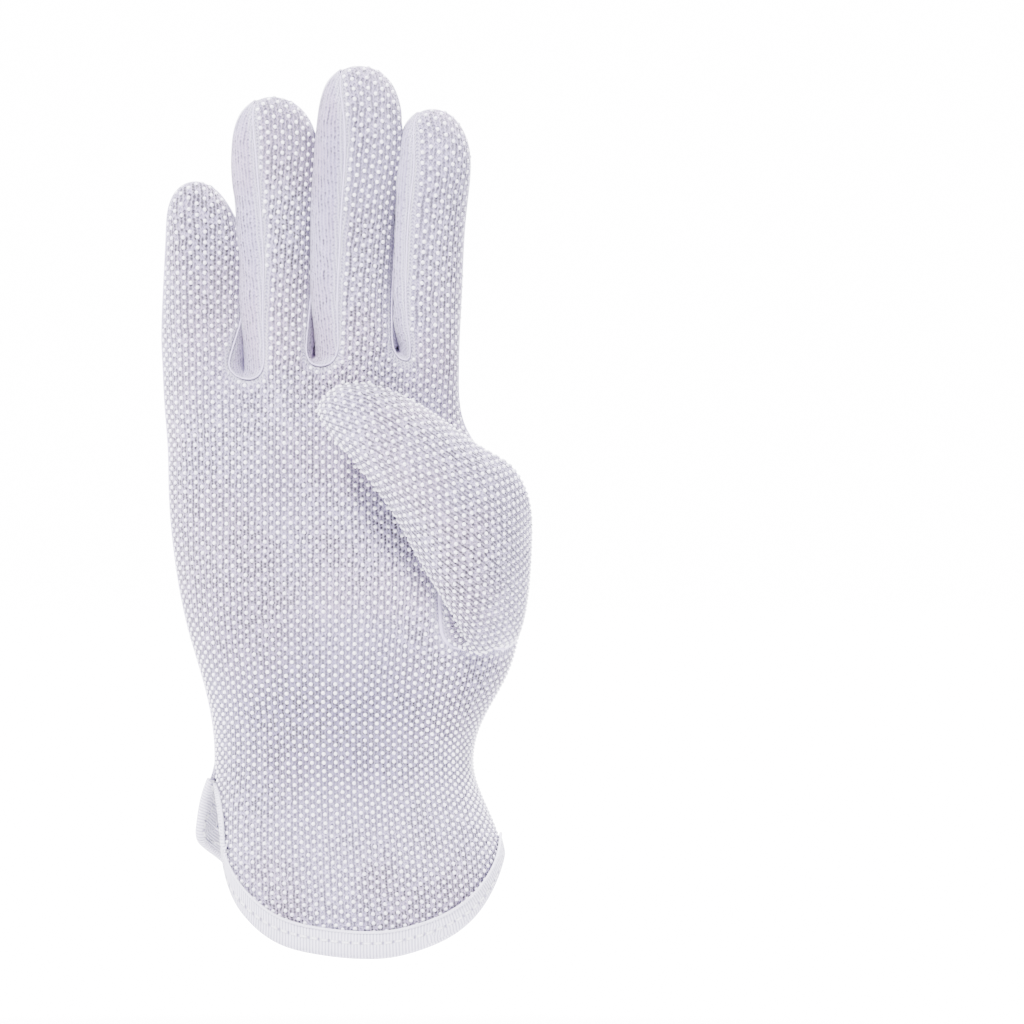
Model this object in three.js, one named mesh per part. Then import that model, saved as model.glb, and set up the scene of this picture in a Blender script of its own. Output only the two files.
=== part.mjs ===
// A right-hand cotton glove with a dotted palm, in the filled form of a worn glove.
// Millimetres. X runs from the little finger to the thumb, Y from the palm to the back,
// Z from the cuff to the fingertips. The origin is at the centre of the wrist opening.
import * as THREE from "three";

const { lerp, clamp, smoothstep, degToRad, radToDeg } = THREE.MathUtils;

// Cloth and sewing
const CLOTH = 1.1;
const SEAM_GAP = 0.3;
const BINDING_CLOTH = 0.8;
const BINDING_WIDTH = 6.2;
const BINDING_EDGE = 1.2;
const BINDING_REACH = 4;

// Side vent at the little finger's side of the cuff
const VENT_TOP = 54;
const VENT_OPENING_DEGREES = 9;
const VENT_BINDING_STOP = 1;
const VENT_FADE = 12;
const FLAP_FROM = 110;
const FORWARD_FROM = 120;
const EDGE_SHARE = 180;
const HEM_LEVEL = VENT_TOP / 3;

// The palm cloth is carried round the thumb's side of the hand by this much
const WRAP_DEGREES = 24;
const WRAP_FROM_Z = 146;
const WRAP_TO_Z = 118;

// Rows and columns of cloth
const CUFF_ROWS = 5;
const BODY_ROWS = 19;
const SHAFT_ROWS = 8;
const CAP_ROWS = 4;
const FINGER_ROWS = SHAFT_ROWS + CAP_ROWS;
const FINGER_COLUMNS = 5;
const SIDE_COLUMNS = 3;
const SIDE_TAPER_FROM = 6;
const SIDE_END = SHAFT_ROWS + 3;
const BASE_TURN_ROWS = 4;
const FINGER_BLEND = 30;

// Roundness of the sections: 2 is an ellipse, more is squarer
const FINGER_POWER = 2.15;
const CAP_POWER = 2.25;

// The fingers lie turned a little about their length, thumb's side towards the back
const FINGER_TURN = 0.24;
const TURN_FROM_Z = 166;
const TURN_TO_Z = 184;
const BODY_POWER = 2.3;

// Each finger: the tip, the height of its round end, the seam angles on both sides, the height of
// the first row at both sides, and the outline. Angles are degrees round the finger, 0 towards the
// thumb and -90 towards the palm, and base_turn carries the palm's seam further round at the crotch.
// left and right are the outline seen from the palm, depth is the thickness, and y is the centre.
const FINGERS = [
  {
    tip: { x: -46.9, z: 217.8 },
    cap: 14,
    ulnar: { palm: -180, side: -180, back: -180, base_turn: 0 },
    radial: { palm: -24, side: 20, back: 62, base_turn: -34 },
    base: { ulnar: { palm: 166, back: 166 }, radial: { palm: 164, back: 171 } },
    outline: [
      { z: 158, left: -55.2, right: -33.4, depth: 21, y: -0.5 },
      { z: 172, left: -56.6, right: -33.9, depth: 18, y: -1.0 },
      { z: 185, left: -56.1, right: -33.7, depth: 16.6, y: -2.0 },
      { z: 196, left: -55.5, right: -33.4, depth: 16, y: -3.0 },
      { z: 204, left: -55.1, right: -34.8, depth: 15.4, y: -3.8 },
      { z: 218, left: -54.6, right: -37.0, depth: 15, y: -5.0 },
    ],
  },
  {
    tip: { x: -25.4, z: 241.6 },
    cap: 15,
    ulnar: { palm: -106, side: -160, back: -206, base_turn: -6 },
    radial: { palm: -24, side: 20, back: 62, base_turn: -24 },
    base: { ulnar: { palm: 164, back: 171 }, radial: { palm: 167.5, back: 176 } },
    outline: [
      { z: 158, left: -32.2, right: -13.2, depth: 22, y: 0.2 },
      { z: 172, left: -33.3, right: -13.9, depth: 19.6, y: -0.2 },
      { z: 185, left: -34.4, right: -13.9, depth: 18, y: -0.9 },
      { z: 196, left: -34.2, right: -14.2, depth: 17.4, y: -1.8 },
      { z: 207, left: -35.8, right: -14.0, depth: 17, y: -2.8 },
      { z: 220, left: -37.7, right: -13.4, depth: 16.6, y: -4.0 },
      { z: 230, left: -37.3, right: -13.0, depth: 16.2, y: -5.0 },
      { z: 242, left: -36.0, right: -13.8, depth: 16, y: -6.0 },
    ],
  },
  {
    tip: { x: -1.1, z: 250.3 },
    cap: 16,
    ulnar: { palm: -103, side: -160, back: -206, base_turn: -10 },
    radial: { palm: -24, side: 20, back: 62, base_turn: -14 },
    base: { ulnar: { palm: 167.5, back: 176 }, radial: { palm: 169.5, back: 176 } },
    outline: [
      { z: 158, left: -11.8, right: 11.4, depth: 22, y: 0.4 },
      { z: 173, left: -13.3, right: 9.2, depth: 20, y: 0.2 },
      { z: 188, left: -14.8, right: 8.5, depth: 18.4, y: -0.6 },
      { z: 205, left: -14.8, right: 8.8, depth: 17.6, y: -1.8 },
      { z: 220, left: -14.0, right: 10.4, depth: 17.2, y: -3.2 },
      { z: 230, left: -13.2, right: 11.6, depth: 16.8, y: -4.2 },
      { z: 250, left: -12.4, right: 11.4, depth: 16.4, y: -6.0 },
    ],
  },
  {
    tip: { x: 19.4, z: 238.3 },
    cap: 14,
    ulnar: { palm: -116, side: -160, back: -204, base_turn: -6 },
    radial: { palm: 0, side: 0, back: 0, base_turn: 0 },
    base: { ulnar: { palm: 169.5, back: 176 }, radial: { palm: 171, back: 171 } },
    outline: [
      { z: 158, left: 12.4, right: 26.2, depth: 21, y: 0.8 },
      { z: 171, left: 10.3, right: 26.9, depth: 19.6, y: 0.8 },
      { z: 188, left: 7.8, right: 27.8, depth: 18.2, y: 0.4 },
      { z: 207, left: 8.2, right: 28.7, depth: 17.4, y: 0 },
      { z: 218, left: 9.5, right: 30.1, depth: 17, y: -0.8 },
      { z: 226, left: 11.0, right: 30.5, depth: 16.8, y: -1.4 },
      { z: 238, left: 11.0, right: 30.2, depth: 16.4, y: -2.4 },
    ],
  },
];

// The lowest point of the cloth between two fingers, on the palm's side and on the back
const CROTCHES = [
  { name: "fourchette_little_ring", palm: { x: -31.4, z: 160.4 }, back: { x: -35.6, z: 167 } },
  { name: "fourchette_ring_middle", palm: { x: -12.0, z: 164.2 }, back: { x: -15.0, z: 172 } },
  { name: "fourchette_middle_index", palm: { x: 12.4, z: 166.2 }, back: { x: 8.8, z: 172.5 } },
];

// The hand and cuff, from the hem up. flap is how far the back stands out past the palm at the vent,
// and forward is how far the palm's edge stands out in front there.
const BODY = [
  { z: -2, left: -39.4, right: 39.0, front: -28.5, back: 28.5, flap: 7.5, forward: 8.5 },
  { z: 18, left: -39.4, right: 39.2, front: -26.5, back: 26.5, flap: 8.0, forward: 8.5 },
  { z: 30, left: -39.3, right: 38.9, front: -24.5, back: 24.5, flap: 7.9, forward: 8.0 },
  { z: 39, left: -40.0, right: 35.9, front: -22.8, back: 22.8, flap: 6.6, forward: 6.4 },
  { z: 46, left: -41.0, right: 32.6, front: -21.4, back: 21.4, flap: 4.0, forward: 3.4 },
  { z: 54, left: -41.7, right: 30.4, front: -20.4, back: 20.2, flap: 0, forward: 0 },
  { z: 62, left: -41.6, right: 31.2, front: -19.8, back: 19.2, flap: 0, forward: 0 },
  { z: 70, left: -43.0, right: 35.2, front: -19.4, back: 17.8, flap: 0, forward: 0 },
  { z: 79, left: -45.2, right: 40.8, front: -19.0, back: 16.4, flap: 0, forward: 0 },
  { z: 90, left: -48.8, right: 43.8, front: -18.2, back: 15.4, flap: 0, forward: 0 },
  { z: 104, left: -51.8, right: 45.0, front: -16.8, back: 14.6, flap: 0, forward: 0 },
  { z: 121, left: -54.0, right: 45.0, front: -15.2, back: 13.8, flap: 0, forward: 0 },
  { z: 133, left: -54.7, right: 42.0, front: -14.2, back: 13.2, flap: 0, forward: 0 },
  { z: 143, left: -54.4, right: 31.0, front: -13.6, back: 12.8, flap: 0, forward: 0 },
  { z: 150, left: -54.7, right: 27.2, front: -13.0, back: 12.4, flap: 0, forward: 0 },
  { z: 166, left: -55.9, right: 26.4, front: -11.6, back: 11.8, flap: 0, forward: 0 },
];

// Height of the cloth's lower edge across the cuff
const PALM_HEM = [
  { x: -39.9, z: 36.0 },
  { x: -38.6, z: 27.0 },
  { x: -36.0, z: 18.4 },
  { x: -31.5, z: 12.0 },
  { x: -24.0, z: 6.0 },
  { x: -10.0, z: 2.4 },
  { x: 4.0, z: 1.4 },
  { x: 18.0, z: 4.4 },
  { x: 27.0, z: 8.8 },
  { x: 33.0, z: 14.6 },
  { x: 36.6, z: 21.0 },
  { x: 39.2, z: 28.5 },
];
const BACK_HEM = [
  { x: -39.9, z: 34.0 },
  { x: -37.6, z: 30.6 },
  { x: -34.0, z: 26.0 },
  { x: -30.0, z: 18.0 },
  { x: -24.0, z: 9.6 },
  { x: -10.0, z: 3.6 },
  { x: 4.0, z: 2.2 },
  { x: 18.0, z: 5.0 },
  { x: 27.0, z: 9.4 },
  { x: 33.0, z: 15.0 },
  { x: 36.6, z: 21.4 },
  { x: 39.2, z: 28.5 },
];

// Swells and hollows of the hand, outwards from the cloth. tilt turns one in degrees.
const RELIEF = [
  { side: "palm", x: 27, z: 88, across: 15, along: 22, rise: 2.4, tilt: 20 },
  { side: "palm", x: -38, z: 92, across: 12, along: 28, rise: 2.2, tilt: 0 },
  { side: "palm", x: -8, z: 112, across: 15, along: 24, rise: -2.6, tilt: 0 },
  { side: "palm", x: -12, z: 150, across: 40, along: 7, rise: 1.2, tilt: 0 },
  { side: "palm", x: -6, z: 66, across: 26, along: 3.6, rise: -1.5, tilt: 8 },
  { side: "palm", x: 10, z: 57, across: 24, along: 3.2, rise: 1.1, tilt: -14 },
  { side: "palm", x: -20, z: 47, across: 16, along: 3.2, rise: -1.2, tilt: 24 },
  { side: "palm", x: 12, z: 38, across: 4, along: 22, rise: 1.3, tilt: 10 },
  { side: "palm", x: -14, z: 24, across: 4.5, along: 18, rise: -1.2, tilt: -8 },
  { side: "back", x: -12, z: 158, across: 36, along: 9, rise: 1.3, tilt: 0 },
  { side: "back", x: 6, z: 56, across: 40, along: 3.4, rise: -2.2, tilt: -2 },
  { side: "back", x: 20, z: 78, across: 4, along: 16, rise: -1.3, tilt: -24 },
  { side: "back", x: -30, z: 72, across: 4, along: 12, rise: -1.1, tilt: 20 },
  { side: "back", x: 22, z: 34, across: 4, along: 16, rise: -1.2, tilt: 16 },
];

// Gathers of the elastic across the back of the wrist
const GATHER = { z: 57, along: 10, pitch: 9.2, rise: 1.0, sway: 0.16 };

// The thumb, from its base in the palm's thumb hole to its tip: its lower and upper outline as seen
// from the palm, its centre's y and half its thickness.
const THUMB_HOLE = { firstColumn: 15, lastColumn: 22, firstRow: 9, lastRow: 15 };
const THUMB = [
  { lowX: 31.5, lowZ: 83.6, highX: 42.5, highZ: 133.6, y: -15.0, half_depth: 13.0 },
  { lowX: 30.0, lowZ: 86.6, highX: 44.0, highZ: 136.0, y: -19.4, half_depth: 14.0 },
  { lowX: 27.2, lowZ: 92.8, highX: 42.0, highZ: 138.2, y: -23.2, half_depth: 14.0 },
  { lowX: 22.6, lowZ: 100.6, highX: 37.4, highZ: 140.6, y: -25.4, half_depth: 13.4 },
  { lowX: 16.6, lowZ: 110.0, highX: 30.0, highZ: 144.6, y: -26.8, half_depth: 12.4 },
  { lowX: 11.2, lowZ: 120.6, highX: 23.0, highZ: 150.4, y: -27.6, half_depth: 11.4 },
  { lowX: 5.4, lowZ: 129.6, highX: 15.6, highZ: 155.0, y: -27.8, half_depth: 10.6 },
  { lowX: -0.4, lowZ: 136.8, highX: 8.6, highZ: 158.6, y: -27.8, half_depth: 9.8 },
  { lowX: -5.8, lowZ: 143.0, highX: 1.6, highZ: 160.6, y: -27.4, half_depth: 8.8 },
  { lowX: -9.8, lowZ: 147.8, highX: -3.8, highZ: 160.8, y: -27.0, half_depth: 7.0 },
  { lowX: -11.8, lowZ: 151.6, highX: -8.6, highZ: 158.8, y: -26.8, half_depth: 4.2 },
];
const THUMB_TIP = { x: -12.2, y: -26.7, z: 154.4 };
const THUMB_BASE_BLEND = [1, 0.7, 0.4, 0.15];
const THUMB_HOLE_ROUNDING = 0.6;

// How far a mitre or a drawn-back corner may stretch
const MITRE_MOST = 1.5;
const CORNER_SHORTEST = 1.2;

// The three raised points on the back: the way down from the crotch
const POINT_WIDTH = 3.5;
const POINT_RISE = 1.7;
const POINT_SEAT = 0.45;
const POINT_STEPS = 22;
const POINT_TAPER = 0.16;
const POINT_END_SIZE = 0.45;
const POINT_EDGE = 0.35;
const POINT_PROFILE = [
  { across: -1, rise: 0 },
  { across: -0.72, rise: 0.72 },
  { across: 0, rise: 1 },
  { across: 0.72, rise: 0.72 },
  { across: 1, rise: 0 },
];
const POINTS = [
  {
    name: "back_point_index",
    way: [[8.2, 166], [4, 155], [-2.4, 140], [-6.9, 124], [-10.8, 104.6], [-13.6, 79]],
  },
  {
    name: "back_point_middle",
    way: [[-16, 167], [-18.4, 159], [-21, 146], [-24.4, 127], [-26.1, 104.6], [-25.3, 84]],
  },
  {
    name: "back_point_ring",
    way: [[-36, 163], [-37.2, 155], [-37.8, 143], [-38.9, 124], [-38.4, 104.6], [-35.6, 82]],
  },
];

// Looks
const PLAIN_CLOTH = { color: 0xf0eff6, roughness: 0.95, metalness: 0 };
const DOTTED_CLOTH = { color: 0xf2f1f8, roughness: 0.9, metalness: 0 };
const BINDING_COLOUR = { color: 0xf6f5fa, roughness: 0.9, metalness: 0 };

// A value from a table with rising x or z, as a smooth curve through its rows.
function curveAt(table, by, value, column) {
  const last = table.length - 1;
  const v = clamp(value, table[0][by], table[last][by]);
  let i = 0;
  while (i < last - 1 && v > table[i + 1][by]) i += 1;
  const slope = (a, b) => (table[b][column] - table[a][column]) / (table[b][by] - table[a][by]);
  const span = table[i + 1][by] - table[i][by];
  const here = slope(i, i + 1);
  const before = i > 0 ? slope(i - 1, i) : here;
  const after = i < last - 1 ? slope(i + 1, i + 2) : here;
  const start = before * here <= 0 ? 0 : (before + here) / 2;
  const end = here * after <= 0 ? 0 : (here + after) / 2;
  const t = (v - table[i][by]) / span;
  const a = table[i][column];
  const b = table[i + 1][column];
  return (
    a * (2 * t ** 3 - 3 * t ** 2 + 1) +
    start * span * (t ** 3 - 2 * t ** 2 + t) +
    b * (3 * t ** 2 - 2 * t ** 3) +
    end * span * (t ** 3 - t ** 2)
  );
}

// How far a share of the way round lies between a start and the vent's edge, as a smooth 0 to 1.
function towardsVent(share, from) {
  return smoothstep(share, from, EDGE_SHARE);
}

// A point on the unit superellipse at an angle in degrees.
function ovalPoint(degrees, power) {
  const c = Math.cos(degToRad(degrees));
  const s = Math.sin(degToRad(degrees));
  return {
    x: Math.sign(c) * Math.abs(c) ** (2 / power),
    y: Math.sign(s) * Math.abs(s) ** (2 / power),
  };
}

// The outer surface: points shared by the pieces that meet there, and each piece's triangles.
const points = [];
const pointNumbers = new Map();
const pieces = new Map();

function sharedPoint(key, makePoint) {
  if (!pointNumbers.has(key)) {
    const made = makePoint();
    pointNumbers.set(key, points.length);
    points.push(made);
  }
  return pointNumbers.get(key);
}

// Adds the cells of a grid of point numbers to a piece. The outside is on the side from which the
// rows run up when the columns run right.
function addGrid(name, rows, flipped = false, skips = () => false) {
  if (!pieces.has(name)) pieces.set(name, []);
  const triangles = pieces.get(name);
  const add = (a, b, c) => {
    if (a !== b && b !== c && c !== a) triangles.push(flipped ? [a, c, b] : [a, b, c]);
  };
  for (let r = 0; r + 1 < rows.length; r += 1) {
    for (let c = 0; c + 1 < rows[r].length; c += 1) {
      if (skips(r, c)) continue;
      add(rows[r][c], rows[r][c + 1], rows[r + 1][c + 1]);
      add(rows[r][c], rows[r + 1][c + 1], rows[r + 1][c]);
    }
  }
}

// Fingers

function fingerPoint(finger, degrees, baseZ, row) {
  const shaftTop = finger.tip.z - finger.cap;
  const capTurn = (Math.max(0, row - SHAFT_ROWS) / CAP_ROWS) * (Math.PI / 2);
  const shaft = Math.min(1, row / SHAFT_ROWS);
  const z = lerp(baseZ, shaftTop, shaft) + finger.cap * Math.sin(capTurn);
  const s = Math.max(0, (z - shaftTop) / finger.cap);
  const shrink = Math.max(0, 1 - s ** CAP_POWER) ** (1 / CAP_POWER);
  const left = curveAt(finger.outline, "z", z, "left");
  const right = curveAt(finger.outline, "z", z, "right");
  const oval = ovalPoint(degrees, FINGER_POWER);
  const off = (oval.x * shrink * (right - left)) / 2;
  const depth = shrink * curveAt(finger.outline, "z", z, "depth");
  const turn = FINGER_TURN * smoothstep(z, TURN_FROM_Z, TURN_TO_Z);
  return new THREE.Vector3(
    lerp((left + right) / 2, finger.tip.x, s) + off,
    curveAt(finger.outline, "z", z, "y") + (oval.y * depth) / 2 + off * turn,
    z,
  );
}

// How much of the strip beside a finger is left at a row: 1 low down, 0 where it ends in a point.
function sideShare(row) {
  const along = clamp((row - SIDE_TAPER_FROM) / (SIDE_END - SIDE_TAPER_FROM), 0, 1);
  return Math.sqrt(1 - along ** 2);
}

function seamAngle(edge, side, row) {
  const baseTurn = side === "palm" ? edge.base_turn * (1 - smoothstep(row, 0, BASE_TURN_ROWS)) : 0;
  return lerp(edge.side, edge[side], sideShare(row)) + baseTurn;
}

function fingerVertex(f, side, row, i) {
  const finger = FINGERS[f];
  const atUlnar = i === 0;
  const atRadial = i === FINGER_COLUMNS;
  const edge = atUlnar ? finger.ulnar : finger.radial;
  const oneSeam = (atUlnar || atRadial) && (edge.palm === edge.back || row >= SIDE_END);
  const key = row === FINGER_ROWS ? `tip ${f}` : `finger ${f} ${oneSeam ? "seam" : side} ${row} ${i}`;
  return sharedPoint(key, () => {
    const t = i / FINGER_COLUMNS;
    const turn = side === "back" ? 360 : 0;
    const degrees = lerp(seamAngle(finger.ulnar, side, row) + turn, seamAngle(finger.radial, side, row), t);
    const baseZ = lerp(finger.base.ulnar[side], finger.base.radial[side], t);
    return fingerPoint(finger, degrees, baseZ, row);
  });
}

// Columns across the palm or the back, from the little finger's side to the thumb's side: those of
// each finger, and one at each crotch.
const COLUMNS = [];
FINGERS.forEach((finger, f) => {
  for (let i = 0; i <= FINGER_COLUMNS; i += 1) COLUMNS.push({ finger: f, i });
  if (f < CROTCHES.length) COLUMNS.push({ crotch: f });
});
const LAST_COLUMN = COLUMNS.length - 1;

function crotchVertex(f, side) {
  return sharedPoint(`crotch ${f} ${side}`, () => {
    const { x, z } = CROTCHES[f][side];
    const near = points[fingerVertex(f, side, 0, FINGER_COLUMNS)];
    const far = points[fingerVertex(f + 1, side, 0, 0)];
    return new THREE.Vector3(x, (near.y + far.y) / 2, z);
  });
}

function topVertex(side, column) {
  const { finger, i, crotch } = COLUMNS[column];
  return crotch === undefined ? fingerVertex(finger, side, 0, i) : crotchVertex(crotch, side);
}

// Hand and cuff

function relief(side, x, z) {
  let rise = 0;
  for (const swell of RELIEF) {
    if (swell.side !== side) continue;
    const turn = degToRad(swell.tilt);
    const across = (x - swell.x) * Math.cos(turn) + (z - swell.z) * Math.sin(turn);
    const along = (z - swell.z) * Math.cos(turn) - (x - swell.x) * Math.sin(turn);
    rise += swell.rise * Math.exp(-((across / swell.across) ** 2) - (along / swell.along) ** 2);
  }
  if (side === "back") {
    const wave = Math.cos((2 * Math.PI * (x + GATHER.sway * (z - GATHER.z))) / GATHER.pitch);
    rise += GATHER.rise * wave * Math.exp(-(((z - GATHER.z) / GATHER.along) ** 2));
  }
  return rise;
}

// The point on the hand's section at a height. share runs from 180 at the little finger's edge to 0
// at the seam on the thumb's side.
function bodyPoint(side, share, z) {
  const level = {};
  for (const column of ["left", "right", "front", "back", "flap", "forward"]) {
    level[column] = curveAt(BODY, "z", z, column);
  }
  const wrap = WRAP_DEGREES * (1 - smoothstep(z, WRAP_TO_Z, WRAP_FROM_Z));
  const open = VENT_OPENING_DEGREES * smoothstep(VENT_TOP - z, 0, VENT_FADE);
  const isPalm = side === "palm";
  const degrees = isPalm
    ? wrap - (share * (180 + wrap - open)) / EDGE_SHARE
    : wrap + (share * (180 - wrap - open)) / EDGE_SHARE;
  const oval = ovalPoint(degrees, BODY_POWER);
  const centre = (level.left + level.right) / 2;
  const x = centre + (oval.x * (level.right - level.left)) / 2;
  const onBack = oval.y > 0;
  const depth = onBack ? level.back : -level.front;
  const flap = isPalm ? 0 : level.flap * towardsVent(share, FLAP_FROM);
  const forward = isPalm ? level.forward * towardsVent(share, FORWARD_FROM) : 0;
  const fade = Math.abs(oval.y);
  const rise = relief(onBack ? "back" : "palm", x, z) * fade;
  return new THREE.Vector3(x - flap, oval.y * depth + (onBack ? rise : -rise) - forward, z);
}

function bodyVertex(side, row, column) {
  if (row === BODY_ROWS) return topVertex(side, column);
  const oneSeam = column === LAST_COLUMN || (column === 0 && row >= CUFF_ROWS);
  const key = `body ${oneSeam ? "seam" : side} ${row} ${column}`;
  return sharedPoint(key, () => {
    const top = points[topVertex(side, column)];
    const even = EDGE_SHARE * (1 - column / LAST_COLUMN);
    if (row < CUFF_ROWS) {
      const hem = side === "palm" ? PALM_HEM : BACK_HEM;
      const low = bodyPoint(side, even, HEM_LEVEL);
      const hemZ = curveAt(hem, "x", low.x + (side === "back" ? backFlapAt(even) : 0), "z");
      return bodyPoint(side, even, lerp(hemZ, VENT_TOP, row / CUFF_ROWS));
    }
    const up = (row - CUFF_ROWS) / (BODY_ROWS - CUFF_ROWS);
    const z = lerp(VENT_TOP, top.z, up);
    const { left, right } = BODY[BODY.length - 1];
    const across = clamp((2 * (top.x - left)) / (right - left) - 1, -1, 1);
    const isEdge = column === 0 || column === LAST_COLUMN;
    const topShare = isEdge ? even : radToDeg(Math.acos(across));
    const share = lerp(even, topShare, smoothstep(z, top.z - 2 * FINGER_BLEND, top.z));
    const made = bodyPoint(side, share, z);
    const blend = smoothstep(z, top.z - FINGER_BLEND, top.z);
    made.x = lerp(made.x, top.x, blend);
    made.y = lerp(made.y, top.y, blend);
    return made;
  });
}

// The flap's share of a back point's place, so that the hem is read at the cuff's own width.
function backFlapAt(share) {
  return curveAt(BODY, "z", HEM_LEVEL, "flap") * towardsVent(share, FLAP_FROM);
}

function inThumbHole(row, column) {
  const { firstColumn, lastColumn, firstRow, lastRow } = THUMB_HOLE;
  return column >= firstColumn && column < lastColumn && row >= firstRow && row < lastRow;
}

for (const side of ["palm", "back"]) {
  const name = `${side}_panel`;
  const flipped = side === "back";
  const body = [];
  for (let row = 0; row <= BODY_ROWS; row += 1) {
    body.push(COLUMNS.map((_, column) => bodyVertex(side, row, column)));
  }
  addGrid(name, body, flipped, side === "palm" ? inThumbHole : undefined);
  FINGERS.forEach((_, f) => {
    const rows = [];
    for (let row = 0; row <= FINGER_ROWS; row += 1) {
      const line = [];
      for (let i = 0; i <= FINGER_COLUMNS; i += 1) line.push(fingerVertex(f, side, row, i));
      rows.push(line);
    }
    addGrid(name, rows, flipped);
  });
}

// The strips between the fingers: down one finger's side, round the crotch and up the next one's

function stripVertex(f, isRadialSide, row, m) {
  const finger = FINGERS[f];
  const i = isRadialSide ? FINGER_COLUMNS : 0;
  if (m === 0 || row === SIDE_END) return fingerVertex(f, "palm", row, i);
  if (m === SIDE_COLUMNS) return fingerVertex(f, "back", row, i);
  return sharedPoint(`strip ${f} ${isRadialSide} ${row} ${m}`, () => {
    const edge = isRadialSide ? finger.radial : finger.ulnar;
    const base = isRadialSide ? finger.base.radial : finger.base.ulnar;
    const t = m / SIDE_COLUMNS;
    const degrees = lerp(seamAngle(edge, "palm", row), seamAngle(edge, "back", row), t);
    return fingerPoint(finger, degrees, lerp(base.palm, base.back, t), row);
  });
}

CROTCHES.forEach(({ name }, f) => {
  const across = [...Array(SIDE_COLUMNS + 1).keys()];
  const rows = [];
  for (let row = SIDE_END; row >= 0; row -= 1) rows.push(across.map((m) => stripVertex(f, true, row, m)));
  rows.push(
    across.map((m) => {
      if (m === 0) return crotchVertex(f, "palm");
      if (m === SIDE_COLUMNS) return crotchVertex(f, "back");
      return sharedPoint(`crotch ${f} ${m}`, () => {
        const palm = points[crotchVertex(f, "palm")];
        const back = points[crotchVertex(f, "back")];
        return palm.clone().lerp(back, m / SIDE_COLUMNS);
      });
    }),
  );
  for (let row = 0; row <= SIDE_END; row += 1) {
    rows.push(across.map((m) => stripVertex(f + 1, false, row, m)));
  }
  addGrid(name, rows, true);
});

// Thumb

function thumbHoleLoop() {
  const { firstColumn, lastColumn, firstRow, lastRow } = THUMB_HOLE;
  const loop = [];
  for (let c = firstColumn; c < lastColumn; c += 1) loop.push(bodyVertex("palm", firstRow, c));
  for (let r = firstRow; r < lastRow; r += 1) loop.push(bodyVertex("palm", r, lastColumn));
  for (let c = lastColumn; c > firstColumn; c -= 1) loop.push(bodyVertex("palm", lastRow, c));
  for (let r = lastRow; r > firstRow; r -= 1) loop.push(bodyVertex("palm", r, firstColumn));
  const across = lastColumn - firstColumn;
  const up = lastRow - firstRow;
  for (const corner of [0, across, across + up, 2 * across + up]) {
    const before = points[loop[(corner + loop.length - 1) % loop.length]];
    const after = points[loop[(corner + 1) % loop.length]];
    points[loop[corner]].lerp(before.clone().lerp(after, 0.5), THUMB_HOLE_ROUNDING);
  }
  return loop;
}

function thumbRings() {
  const loop = thumbHoleLoop();
  const middle = new THREE.Vector3();
  for (const n of loop) middle.addScaledVector(points[n], 1 / loop.length);
  const rings = [loop];
  THUMB.forEach(({ lowX, lowZ, highX, highZ, y, half_depth }, k) => {
    const low = new THREE.Vector3(lowX, y, lowZ);
    const high = new THREE.Vector3(highX, y, highZ);
    const centre = low.clone().lerp(high, 0.5);
    const wide = high.clone().sub(low).multiplyScalar(0.5);
    const blend = THUMB_BASE_BLEND[k + 1] ?? 0;
    rings.push(
      loop.map((n, j) =>
        sharedPoint(`thumb ${k} ${j}`, () => {
          const turn = (j / loop.length) * 2 * Math.PI;
          const free = centre
            .clone()
            .addScaledVector(wide, -Math.cos(turn))
            .add(new THREE.Vector3(0, -half_depth * Math.sin(turn), 0));
          const held = points[n].clone().sub(middle).add(centre);
          return free.lerp(held, blend);
        }),
      ),
    );
  });
  const tip = sharedPoint("thumb tip", () => new THREE.Vector3(THUMB_TIP.x, THUMB_TIP.y, THUMB_TIP.z));
  rings.push(loop.map(() => tip));
  return rings.map((ring) => [...ring, ring[0]]);
}

addGrid("thumb", thumbRings());

// Walls: the inner surface lies one cloth's thickness inside the whole outer surface, so that the
// pieces meet at their seams with mitred edges.
const wholeNormals = points.map(() => new THREE.Vector3());
const faceNormals = points.map(() => []);
for (const triangles of pieces.values()) {
  for (const [a, b, c] of triangles) {
    const ab = points[b].clone().sub(points[a]);
    const ac = points[c].clone().sub(points[a]);
    const normal = ab.cross(ac);
    for (const n of [a, b, c]) {
      wholeNormals[n].add(normal);
      faceNormals[n].push(normal.clone().normalize());
    }
  }
}
wholeNormals.forEach((normal) => normal.normalize());
const innerPoints = points.map((point, n) => {
  const facing = faceNormals[n].reduce((sum, normal) => sum + normal.dot(wholeNormals[n]), 0);
  const stretch = clamp(faceNormals[n].length / facing, 1, MITRE_MOST);
  return point.clone().addScaledVector(wholeNormals[n], -CLOTH * stretch);
});

// The edges that belong to one triangle of a piece only, in the direction of that triangle.
function borderEdges(triangles) {
  const edges = new Map();
  for (const [a, b, c] of triangles) {
    for (const [from, to] of [[a, b], [b, c], [c, a]]) {
      if (!edges.delete(`${to} ${from}`)) edges.set(`${from} ${to}`, [from, to]);
    }
  }
  return [...edges.values()];
}

// How far each border point draws back into its piece, which leaves the gap between two pieces.
function drawBack(triangles, edges) {
  const shifts = new Map();
  for (const [from, to] of edges) {
    for (const n of [from, to]) if (!shifts.has(n)) shifts.set(n, new THREE.Vector3());
    const along = points[to].clone().sub(points[from]).normalize();
    const normal = wholeNormals[from].clone().add(wholeNormals[to]).normalize();
    const inward = normal.cross(along).normalize();
    shifts.get(from).add(inward);
    shifts.get(to).add(inward);
  }
  // A corner draws back further, so that the gap is as wide beside it. The sum of two unit
  // directions is short there.
  for (const shift of shifts.values()) shift.setLength(SEAM_GAP / clamp(shift.length(), CORNER_SHORTEST, 2));
  return shifts;
}

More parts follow.
